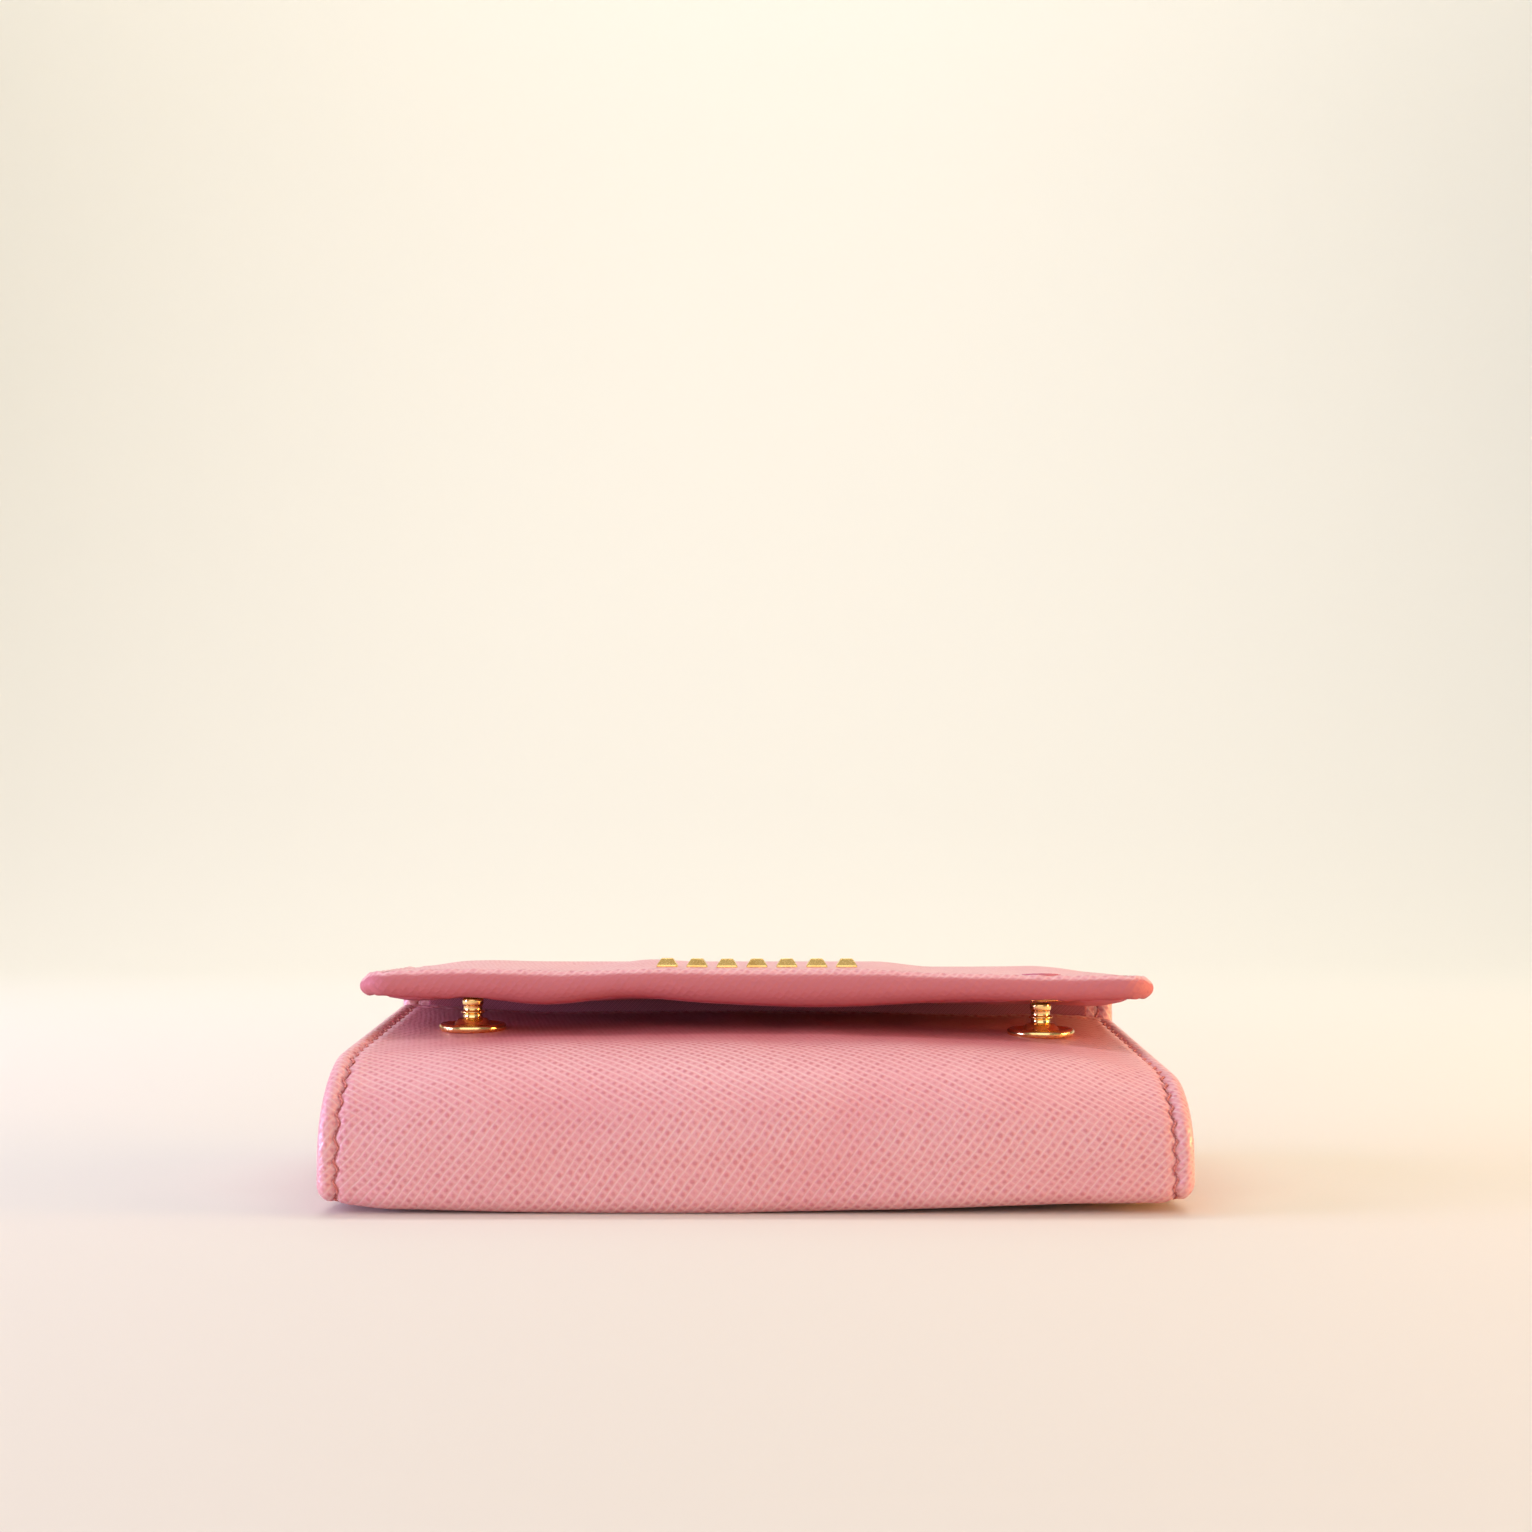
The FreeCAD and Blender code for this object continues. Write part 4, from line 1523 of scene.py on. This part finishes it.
@dataclass
class SewnPart:
    """What the wallet's sewn stretches share: a skin, a woven lining and stitches."""

    shape: Shape
    finishes: Finishes
    turned_edge: float = 4.0
    cloth_thick: float = 0.5
    cloth_sunk: float = 0.38

    def skin_columns(self) -> list[float]:
        """Places across a plain skin."""
        half = self.shape.half
        return seam_columns(half, [(0.0, 1.7), (half - 12.0, 1.0)])

    def cloth_lining(self, name: str, place: Place, rows: Sequence[float],
                     rounded: str) -> bpy.types.Object:
        """Woven lining laid inside the turned edges.

        Args:
            name: The piece's name.
            place: The surface that it follows.
            rows: Places along it.
            rounded: Which of its ends is rounded, "start" or "end".

        Returns:
            The lining.
        """
        half, depth = self.shape.half - self.turned_edge, self.shape.panel - self.cloth_sunk
        edge = {"start": rows[0], "end": rows[-1]}[rounded]
        lining = Panel(
            name, edged(-half, half, 0.6, 3.4), rows, place, even(self.cloth_thick),
            Rim(half, corner=1.0, **{rounded: edge}), top=even(depth), layers=2,
        ).build(self.finishes.cloth)
        2 * half * MM
        (rows[-1] - rows[0]) * MM
        return lining


@dataclass
class Pouch(SewnPart):
    """Back panel, bottom fold and front panel: one skin with its lining and seams."""

    def relief(self, u: float, v: float) -> float:
        """Slow unevenness of the skin, calm at its edges and under the studs.

        Args:
            u: Place across the pattern.
            v: Place along the pattern.

        Returns:
            How far it stands proud.
        """
        shape = self.shape
        spans = shape.pouch_spans()
        calm = smooth(min(shape.half - abs(u), shape.pouch_end() - v), 1.0, 6.0)
        from_stud = math.hypot(abs(u) - shape.stud_x, v - shape.front_v(u, shape.stud_y))
        slow = 0.20 * wave(u / 17, v / 15, 0.7) + 0.09 * wave(u / 7, v / 9, 5.2)
        off_floor = smooth(v, spans[0] * 0.9, spans[0] + spans[1] + 3.0)
        return slow * off_floor * calm * smooth(from_stud, 5.0, 9.0)

    def lean(self, u: float, v: float) -> float:
        """The grain's ridges are drawn out one way on the wall, the other way above the bend.

        Args:
            u: Place across the pattern.
            v: Place along the pattern.

        Returns:
            The way that they lean, from 0 on the wall to 1 above the bend.
        """
        spans = self.shape.pouch_spans()
        turn = sum(spans[:3]) + spans[3] * 0.75
        return smooth(v + 0.9 * wave(u / 9, 0.0, 8.0), turn - 2.2, turn + 2.2)

    def painted_shade(self, u: float, v: float, share: float) -> float:
        """Painted shadow that the flap casts on the front panel, drawn as a deeper colour.

        Args:
            u: Place across the pattern.
            v: Place along the pattern.
            share: Share of the depth, which makes no difference here.

        Returns:
            How strong the painted shadow is, from 0 to 1.
        """
        if v < sum(self.shape.pouch_spans()[:4]):
            return 0.0
        # Painted shadow of the flap: full near its front edge, fading towards the wall, across the
        # middle only.
        flap_shadow = smooth(self.shape.pouch(u, v, 0.0).y, -31, -9)
        return 0.55 * flap_shadow * (1 - smooth(abs(u), 36, 47))

    def build(self) -> None:
        """Make the skin, its lining and its stitches, and set them in place of the CAD nodes."""
        shape, finishes = self.shape, self.finishes
        back, end = shape.pouch_spans()[0], shape.pouch_end()
        rim, thick = Rim(shape.half, end=end), even(shape.panel)
        rows = graded((0.0, 1.3), (back - 4.0, 0.40), (back + 44.0, 0.7), *seam_rows(end), end=end)
        skin = Panel("pouch_skin", self.skin_columns(), rows, shape.pouch, thick, rim, SeamLine(),
                     self.relief, self.lean, self.painted_shade).build(finishes.leather)
        inside = end - self.turned_edge
        rows = graded((0.0, 2.0), (back - 3.0, 1.0), (inside - 0.6, 0.3), end=inside)
        lining = self.cloth_lining("pouch_lining", shape.pouch, rows, "end")
        thread = Stitcher().lay("pouch_stitches", rim, end, shape.pouch, thick, finishes.thread)
        near = shape.near * MM
        bend = (Body.FRONT, (0.0, near, 3.0 * MM), (0.0, near, 13.0 * MM))
        for piece, slot, nodes in (
            (skin, Slot.LEATHER, ("back_panel_leather", "front_panel_leather",
                                  "back_panel_stiffener", "front_panel_stiffener")),
            (lining, Slot.CLOTH, ("back_panel_lining", "front_panel_lining")),
            (thread, Slot.THREAD, ("back_panel_stitching", "front_panel_stitching")),
        ):
            settle(piece, nodes, Body.POUCH, bend)


@dataclass
class TopSpine(SewnPart):
    """Lower half of the top spine, bent up from the back panel."""

    def build(self) -> None:
        """Make the lower spine's skin, lining and stitches, and set them in place of the CAD
        nodes.
        """
        shape, finishes = self.shape, self.finishes
        end, rim, thick = sum(shape.spine_spans()), Rim(shape.half), even(shape.panel)
        skin = Panel("spine_skin", self.skin_columns(), graded((0.0, 0.4), end=end), shape.spine,
                     thick, rim, SeamLine(), pattern=lambda v: -v).build(finishes.leather)
        thread = Stitcher().lay("spine_stitches", rim, end, shape.spine, thick, finishes.thread)
        rows = graded((shape.spine_spans()[0] + 1.0, 0.8), end=end)
        lining = self.cloth_lining("spine_lining", shape.spine, rows, "start")
        bend = (Body.SPINE, (0.0, 30.5 * MM, 0.0), (0.0, shape.far * MM, 4.5 * MM))
        for piece, slot, nodes in (
            (skin, Slot.LEATHER, ("top_spine_leather", "top_spine_stiffener")),
            (lining, Slot.CLOTH, ("top_spine_lining",)),
            (thread, Slot.THREAD, ("top_spine_stitching",)),
        ):
            settle(piece, nodes, Body.POUCH, bend)


@dataclass
class Flap(SewnPart):
    """Upper half of the top spine and the flap, with its linings and stitches."""

    seam: SeamLine = SeamLine(groove=0.18, puff=0.22)
    rolled_edge: float = 3.4
    face_thick: float = 0.6
    face_sunk: float = 0.34

    def painted_shade(self, u: float, v: float, share: float) -> float:
        """Painted shade on the underside and on the lower half of the front edge, in a deep red
        like light bounced off the leather.

        Args:
            u: Place across the pattern.
            v: Place along the pattern.
            share: Share of the depth.

        Returns:
            How strong the painted shade is, from 0 to 1.
        """
        ripple = 0.04 * wave(u / 1.3, v / 3, 12.0)
        bend, to_front = self.shape.flap_spans()[0], self.shape.flap_end() - v
        # Painted shade: on the lower part of the thickness, reaching higher near the front edge,
        # with a ragged border.
        lower = share + ripple + 0.30 * (1 - smooth(to_front, 0.0, 1.6))
        return smooth(lower, 0.14, 0.36) * smooth(v, bend, bend + 9.0)

    def skin(self, rim: Rim) -> bpy.types.Object:
        """Outer leather with its rolled edges, and the padding that it is wrapped round.

        Args:
            rim: The flap's edges.

        Returns:
            The skin.
        """
        shape = self.shape
        x, end, bend = shape.stud_x, shape.flap_end(), shape.flap_spans()[0]
        columns = seam_columns(shape.half, [(0.0, 1.4), (x - 3.4, 0.5), (x + 3.4, 1.0)])
        rows = graded((0.0, 0.9), (bend - 1.0, 0.45), (bend + 8.0, 0.8),
                      (shape.flap_v(shape.socket_y) - 3.4, 0.5),
                      (shape.flap_v(shape.socket_y) + 3.0, 0.5), *seam_rows(end), end=end)
        behind = sum(shape.spine_spans())
        return Panel("flap_skin", columns, rows, shape.flap, shape.flap_thickness, rim, self.seam,
                     painted_shade=self.painted_shade, pattern=lambda v: -v - behind,
                     layers=10).build(self.finishes.leather)

    def face(self) -> bpy.types.Object:
        """Plain lining of the flap's underside, drawn in round the sockets.

        Returns:
            The lining.
        """
        shape = self.shape
        x, socket = shape.stud_x, shape.flap_v(shape.socket_y)
        half, stop = shape.half - self.rolled_edge, shape.flap_end() - self.rolled_edge
        start = sum(shape.flap_spans()[:2]) + 3.8
        right = graded((0.0, 2.0), (x - 6.6, 0.5), (x + 6.6, 1.2), (half - 0.8, 0.4), end=half)
        rows = graded((start, 1.5), (socket - 6.6, 0.5), (stop - 0.8, 0.4), end=stop)
        lining = Panel(
            "flap_lining_face", mirrored_places(right[1:]), rows, shape.flap,
            lambda u, v: self.face_thick - 0.48 * shape.bore(u, v),
            Rim(half, start=start, end=stop, corner=2.0),
            top=lambda u, v: shape.flap_thickness(u, v) - self.face_sunk, layers=3,
        ).build(self.finishes.plain)
        2 * half * MM
        (stop - start) * MM
        return lining

    def build(self) -> None:
        """Make the skin, the linings and the stitches, and set them in place of the CAD nodes."""
        shape = self.shape
        rim = Rim(shape.half, end=shape.flap_end(), corner=4.5)
        rows = graded((0.0, 0.8), end=shape.flap_spans()[0] - 1.2)
        skin, face = self.skin(rim), self.face()
        cloth = self.cloth_lining("spine_lining_upper", shape.flap, rows, "end")
        thread = Stitcher().lay("flap_stitches", rim, shape.flap_end(), shape.flap,
                                shape.flap_thickness, self.finishes.thread)
        bend = (Body.FLAP, (0.0, shape.far * MM, 25.0 * MM), (0.0, 30.0 * MM, shape.flap_top * MM))
        for piece, slot, nodes in (
            (skin, Slot.LEATHER, ("flap_leather", "flap_filler")),
            (face, Slot.PLAIN, ("flap_lining",)),
            (cloth, Slot.CLOTH, ()),
            (thread, Slot.THREAD, ("flap_stitching",)),
        ):
            settle(piece, nodes, Body.SPINE, bend)


@dataclass
class PressStuds:
    """Two press studs: turned studs on the front panel and sockets in the flap."""

    shape: Shape
    finishes: Finishes
    flange_bed: float = 0.1
    rim_radius: float = 4.75
    rim_roll: float = 0.56
    wire: float = 0.2
    wire_radius: float = 1.86
    wire_height: float = -0.85

    def stud_profile(self) -> list[tuple[float, float]]:
        """Dished flange with a rolled rim, stepped boss, neck, bead, waist and head.

        Returns:
            Points as (radius, height).
        """
        r, roll = self.rim_radius, self.rim_roll
        rim = [(r - roll + roll * math.cos(a), 0.62 + roll * math.sin(a))
               for a in (-1.2, -0.6, 0.0, 0.6, 1.2, 1.8, 2.5)]
        stem = [(r - 1.35, 0.80), (3.1, 0.74), (2.65, 0.95), (2.35, 1.35), (2.0, 1.78),
                (1.38, 1.90), (1.30, 2.46), (1.56, 2.54), (1.66, 2.62), (1.66, 2.78),
                (1.56, 2.86), (1.30, 2.94), (1.32, 3.62), (1.46, 3.72), (1.48, 4.10),
                (1.48, 4.55), (1.2, 4.70), (0.0, 4.74)]
        return [(0.0, 0.0), (r - 0.9, 0.0)] + rim + soften(stem, 0.09)

    def socket_profile(self) -> list[tuple[float, float]]:
        """Plate with a rounded rim, raised mouth, and the cup that the stud's head enters.

        Returns:
            Points as (radius, height).
        """
        corners = [(0.0, -2.75), (2.45, -2.75), (2.5, -0.05), (4.15, -0.02), (4.25, 0.12),
                   (4.1, 0.30), (3.7, 0.36), (2.45, 0.34), (2.12, 0.46), (1.90, 0.36),
                   (1.86, 0.05), (2.0, -0.1), (2.2, -0.3), (2.2, -2.45), (0.0, -2.45)]
        return soften(corners, 0.10)

    def ring_profile(self) -> list[tuple[float, float]]:
        """Round wire that grips the stud's bead."""
        turns = (k * math.pi / 5 for k in range(11))
        return [(self.wire_radius + self.wire * math.cos(a),
                 self.wire_height + self.wire * math.sin(a)) for a in turns]

    def build(self) -> None:
        """Stand each stud on the front panel and set each socket into the flap's underside."""
        shape, gold = self.shape, self.finishes.gold
        for side, sign in (("left", -1), ("right", 1)):
            x = sign * shape.stud_x
            foot = shape.seat(shape.pouch, x, shape.front_v(x, shape.stud_y), self.flange_bed)
            foot = Matrix.Translation(foot.translation) @ Matrix.Rotation(shape.slope, 4, "X")
            stud = turned(f"{side}_stud_turned", self.stud_profile(), foot, gold)
            settle(stud, (f"{side}_snap_stud",), Body.FRONT)
            under = shape.seat(shape.flap, x, shape.flap_v(shape.socket_y),
                               shape.flap_thick - shape.bed(x)) @ Matrix.Rotation(math.pi, 4, "X")
            socket = turned(f"{side}_socket_turned", self.socket_profile(), under, gold)
            settle(socket, (f"{side}_snap_socket",), Body.FLAP)
            ring = turned(f"{side}_ring_turned", self.ring_profile(), under, self.finishes.steel)
            settle(ring, (f"{side}_ring_spring",), Body.FLAP)


@dataclass
class Trim:
    """Row of small facetted studs on the flap."""

    shape: Shape
    finishes: Finishes
    count: int = 7
    pitch: float = 4.3
    base: float = 3.0
    shoulder: float = 0.3
    height: float = 1.3
    table: float = 1.1
    broken_edge: float = 0.11

    def stud(self) -> bpy.types.Mesh:
        """One stud: a block whose top is drawn in and raised, with its edges broken.

        Returns:
            Its mesh, in millimetres.
        """
        bm = bmesh.new()
        bmesh.ops.create_cube(bm, size=1.0)
        bmesh.ops.scale(bm, verts=bm.verts[:], vec=(self.base, self.base, self.shoulder))
        top = max(bm.faces, key=lambda f: f.calc_center_median().z)
        bmesh.ops.inset_region(bm, faces=[top], thickness=(self.base - self.table) / 2, depth=0.0)
        bmesh.ops.translate(bm, verts=top.verts[:], vec=(0, 0, self.height - self.shoulder))
        bmesh.ops.bevel(bm, geom=bm.edges[:], offset=self.broken_edge, offset_type="OFFSET",
                        affect="EDGES", segments=2, profile=0.5, material=-1)
        mesh = bpy.data.meshes.new("trim_stud")
        bm.to_mesh(mesh)
        bm.free()
        return mesh

    def build(self) -> None:
        """Make the row as one piece, each stud seated on the flap's upper face."""
        shape = self.shape
        low, high = node_box("flap_trim")
        v = shape.flap_v((low.y + high.y) / 2)
        pattern, bm = self.stud(), bmesh.new()
        for k in range(self.count):
            x = (k - (self.count - 1) / 2) * self.pitch
            copy = pattern.copy()
            copy.transform(shape.seat(shape.flap, x, v, 0.05 - self.shoulder / 2))
            bm.from_mesh(copy)
            bpy.data.meshes.remove(copy)
        bpy.data.meshes.remove(pattern)
        bmesh.ops.transform(bm, matrix=Matrix.Scale(MM, 4), verts=bm.verts[:])
        trim = finish_mesh(bm, "trim_studs", self.finishes.satin, rounded=False)
        settle(trim, ("flap_trim",), Body.FLAP)


@dataclass
class Interior:
    """Folded side gussets, the centre divider and the card pockets."""

    shape: Shape
    finishes: Finishes
    seam_x: float = 52.3
    fold_x: float = 44.0
    near_end: float = -21.5
    far_end: float = 27.5
    gusset_thick: float = 0.8
    sheet_thick: float = 0.6

    def gusset_half(self) -> float:
        """Half the gusset's width before it is folded."""
        rise = self.shape.front_height(self.seam_x, 10.0) - 5.0
        return math.hypot(self.seam_x - self.fold_x, rise / 2)

    def on_gusset(self, sign: float, w: float, y: float) -> Vector:
        """Point of a gusset's middle layer.

        Args:
            sign: -1 for the left gusset and 1 for the right one.
            w: Share of the way from the back panel to the front panel.
            y: Place from the bottom fold to the mouth.

        Returns:
            The point.
        """
        reach = math.sqrt((2 * w - 1) ** 2 + 0.01) / math.sqrt(1.01)
        x = sign * (self.fold_x + (self.seam_x - self.fold_x) * reach)
        low = self.shape.station(x).lift + 2.75
        high = self.shape.front_height(x, y) - 2.95
        return Vector((x, y, low + (high - low) * w))

    def gusset(self, side: str, sign: float) -> None:
        """Make one side wall, folded inwards.

        Args:
            side: Its side, for its name.
            sign: -1 for the left gusset and 1 for the right one.
        """
        half = self.gusset_half()

        def place(u: float, y: float, depth: float) -> Vector:
            """Point of the gusset.

            Args:
                u: Place across the flat pattern.
                y: Place along it.
                depth: Depth under its outer face.

            Returns:
                The point.
            """
            w = (u + half) / (2 * half)
            run = self.on_gusset(sign, w + 0.02, y) - self.on_gusset(sign, w - 0.02, y)
            out = Vector((run.z, 0.0, -run.x)).normalized() * sign
            return self.on_gusset(sign, w, y) - out * (depth - self.gusset_thick / 2)

        piece = Panel(
            f"{side}_gusset_folded", edged(-half, half, 0.6, 0.8),
            edged(self.near_end, self.far_end, 0.6, 2.0), place, even(self.gusset_thick),
            Rim(half, start=self.near_end, end=self.far_end, corner=0.8), layers=4,
        ).build(self.finishes.plain)
        near = self.shape.near * MM
        settle(piece, (f"{side}_gusset",), Body.POUCH,
               (Body.FRONT, (0.0, near, 4.0 * MM), (0.0, near, 16.0 * MM)))

    def divider(self) -> None:
        """Make the stiff leaf between the two compartments."""
        low, high = node_box("centre_divider")
        rows = graded((low.y, 0.3), (low.y + 0.9, 3.0), (high.y - 4.0, 0.3), end=high.y)
        seam = SeamLine(inset=2.0, groove=0.12, puff=0.05, swing=0.0)
        piece = Panel(
            "divider_leaf", edged(-high.x, high.x, 0.9, 3.0), rows,
            lambda u, v, depth: Vector((u, v, high.z - depth)), even(high.z - low.z),
            Rim(high.x, start=low.y, end=high.y, corner=1.5),
            relief=lambda u, v: seam.relief(high.y - v, u), layers=5,
        ).build(self.finishes.plain)
        settle(piece, ("centre_divider",), Body.POUCH)

    def pocket(self, node: str, floor: float, raised: float) -> None:
        """Make a card pocket: a sheet sewn down at its sides and bottom, and raised between.

        Args:
            node: The CAD node that it replaces.
            floor: Height of what it is sewn to.
            raised: How far its middle stands off that.
        """
        low, high = node_box(node)
        half = high.x

        def place(u: float, v: float, depth: float) -> Vector:
            """Point of the pocket.

            Args:
                u: Place across the flat pattern.
                v: Place along it.
                depth: Depth under its upper face.

            Returns:
                The point.
            """
            free = smooth(half - abs(u), 0.6, 4.5) * smooth(v - low.y, 0.6, 4.5)
            return Vector((u, v, floor + self.sheet_thick + raised * free - depth))

        rows = graded((low.y, 0.4), (low.y + 6.0, 2.5), (high.y - 3.0, 0.3), end=high.y)
        hem = SeamLine(inset=1.5, groove=0.12, puff=0.05, swing=0.0)
        piece = Panel(
            f"{node}_sheet", edged(-half, half, 6.0, 3.0), rows, place, even(self.sheet_thick),
            Rim(half, start=low.y, end=high.y, corner=1.0),
            relief=lambda u, v: hem.relief(high.y - v, u), layers=3,
        ).build(self.finishes.plain)
        settle(piece, (node,), Body.POUCH)

    def build(self) -> None:
        """Make every inner piece."""
        self.gusset("left", -1.0)
        self.gusset("right", 1.0)
        self.divider()
        self.pocket("rear_card_pocket", 2.45, 0.75)
        self.pocket("middle_card_pocket", 3.08, 1.5)


@dataclass
class KeptNodes:
    """CAD nodes that keep their own shape and get a finish."""

    finishes: Finishes

    def build(self) -> None:
        """Give each node that is still shown its finish."""
        gold, plain = self.finishes.gold, self.finishes.plain
        kept = {"left_stud_cap": gold, "right_stud_cap": gold, "left_socket_washer": gold,
                "right_socket_washer": gold, "flap_trim_plate": gold, "front_slip_pocket": plain}
        for node, material in kept.items():
            mesh = bpy.data.objects[node].data
            mesh.materials.clear()
            mesh.materials.append(material)
            log.info("%s: %s", node, material.name)


@dataclass(frozen=True)
class Lamp:
    """A soft rectangular light, in metres and watts."""

    name: str
    at: Point
    size: tuple[float, float]
    power: float
    colour: Point
    towards: Point = (0.0, 0.0, 0.01)

    def build(self) -> None:
        """Hang the lamp and turn it to what it lights."""
        data = bpy.data.lights.new(self.name, "AREA")
        data.shape = "RECTANGLE"
        data.size, data.size_y = self.size
        data.energy, data.color = self.power, self.colour
        lamp = bpy.data.objects.new(self.name, data)
        lamp.location = self.at
        way = Vector(self.towards) - Vector(self.at)
        lamp.rotation_euler = way.to_track_quat("-Z", "Y").to_euler()
        bpy.context.scene.collection.objects.link(lamp)


@dataclass
class Studio:
    """Pale paper sweep, soft lights and the camera, in metres."""

    camera_at: Point = (0.00130, -0.3006, 0.0406)
    camera_pitch: float = 3.3
    lens: float = 50.0
    sweep_front: float = -1.8
    sweep_half: float = 1.8
    sweep_length: float = 4.6
    sweep_bend: float = 0.75
    sweep_radius: float = 0.7
    sky_power: float = 0.315
    sky_colour: Point = (1.0, 0.95, 0.88)
    sky_spread: float = 75.0
    world_power: float = 0.22
    world_colour: Colour = (1.0, 0.96, 0.92, 1.0)
    seen_colour: Colour = (0.90, 0.81, 0.70, 1.0)
    lamps: tuple[Lamp, ...] = (
        Lamp("overhead_back", (0.0, 0.62, 0.60), (1.0, 0.7), 0.70, (1.0, 0.97, 0.92)),
        Lamp("overhead_front", (0.0, -0.10, 0.87), (0.34, 0.28), 0.16, (1.0, 0.96, 0.92)),
        Lamp("fill_front", (-0.12, -0.95, 0.45), (1.3, 0.9), 4.95, (1.0, 0.97, 0.97)),
        Lamp("side_left", (-0.75, 0.05, 0.34), (0.5, 0.5), 2.9, (0.62, 0.58, 1.0)),
        Lamp("side_right", (0.75, 0.05, 0.34), (0.5, 0.5), 1.5, (1.0, 0.68, 0.36)),
        Lamp("window_left", (-0.70, -0.12, 0.085), (0.26, 0.12), 3.0, (0.66, 0.56, 1.0),
             (-0.04, 0.0, 0.02)),
        Lamp("lamp_right", (0.50, -0.06, 0.075), (0.16, 0.10), 1.8, (1.0, 0.50, 0.14),
             (0.05, 0.0, 0.02)),
        Lamp("wall_wash", (0.0, 0.45, 1.3), (1.8, 0.5), 15.6, (0.99, 1.0, 1.0), (0.0, 1.4, 0.4)),
    )

    def sweep(self) -> None:
        """Make a floor that curves up into a wall far behind the wallet."""
        bm = bmesh.new()
        bmesh.ops.create_grid(bm, x_segments=2, y_segments=80, size=1.0)
        bend, radius = self.sweep_bend, self.sweep_radius
        for vert in bm.verts:
            run = (vert.co.y + 1.0) * self.sweep_length / 2 + self.sweep_front
            angle = min(max(run - bend, 0.0) / radius, math.pi / 2)
            past = max(0.0, run - bend - radius * math.pi / 2)
            vert.co = (vert.co.x * self.sweep_half, min(run, bend) + radius * math.sin(angle),
                       radius * (1 - math.cos(angle)) + past)
        finish_mesh(bm, "studio_floor", Paper().build())

    def sky(self) -> None:
        """Add even light from above, as soft as a whole ceiling of lamps."""
        data = bpy.data.lights.new("ceiling", "SUN")
        data.energy, data.color = self.sky_power, self.sky_colour
        data.angle = math.radians(self.sky_spread)
        bpy.context.scene.collection.objects.link(bpy.data.objects.new("ceiling", data))

    def surroundings(self) -> None:
        """Make a dim world that the camera itself sees as pale as the floor."""
        world = bpy.data.worlds.new("studio_world")
        world.use_nodes = True
        s = Sketch(world.node_tree)
        dim, out = (next(n for n in s.tree.nodes if n.type == kind)
                    for kind in ("BACKGROUND", "OUTPUT_WORLD"))
        dim.inputs["Color"].default_value = self.world_colour
        dim.inputs["Strength"].default_value = self.world_power
        pale, blend = s.add("Background", Color=self.seen_colour), s.add("MixShader")
        seen = s.value("LightPath", "Is Camera Ray")
        for value, socket in zip((seen, dim.outputs[0], pale.outputs[0]), blend.inputs):
            s.put(value, socket)
        s.put(blend.outputs[0], out.inputs["Surface"])
        bpy.context.scene.world = world

    def camera(self) -> None:
        """Set up the camera."""
        data = bpy.data.cameras.new("camera")
        data.sensor_width, data.lens = 36.0, self.lens
        camera = bpy.data.objects.new("camera", data)
        camera.location = self.camera_at
        camera.rotation_euler = (math.radians(90 + self.camera_pitch), 0.0, 0.0)
        bpy.context.scene.collection.objects.link(camera)
        bpy.context.scene.camera = camera

    def build(self) -> None:
        """Make the sweep, the lights, the world and the camera."""
        self.sweep()
        self.sky()
        for lamp in self.lamps:
            lamp.build()
        self.surroundings()
        self.camera()
        bpy.context.scene.view_settings.view_transform = "Standard"


def main() -> None:
    """Build the wallet and its studio."""
    logging.basicConfig(level=logging.INFO, format="%(name)s: %(message)s")
    shape, finishes = wallet_shape(), Finishes()
    for assembly in (Pouch, TopSpine, Flap, PressStuds, Trim, Interior):
        assembly(shape, finishes).build()
    KeptNodes(finishes).build()
    Studio().build()


if __name__ == "__main__":
    main()
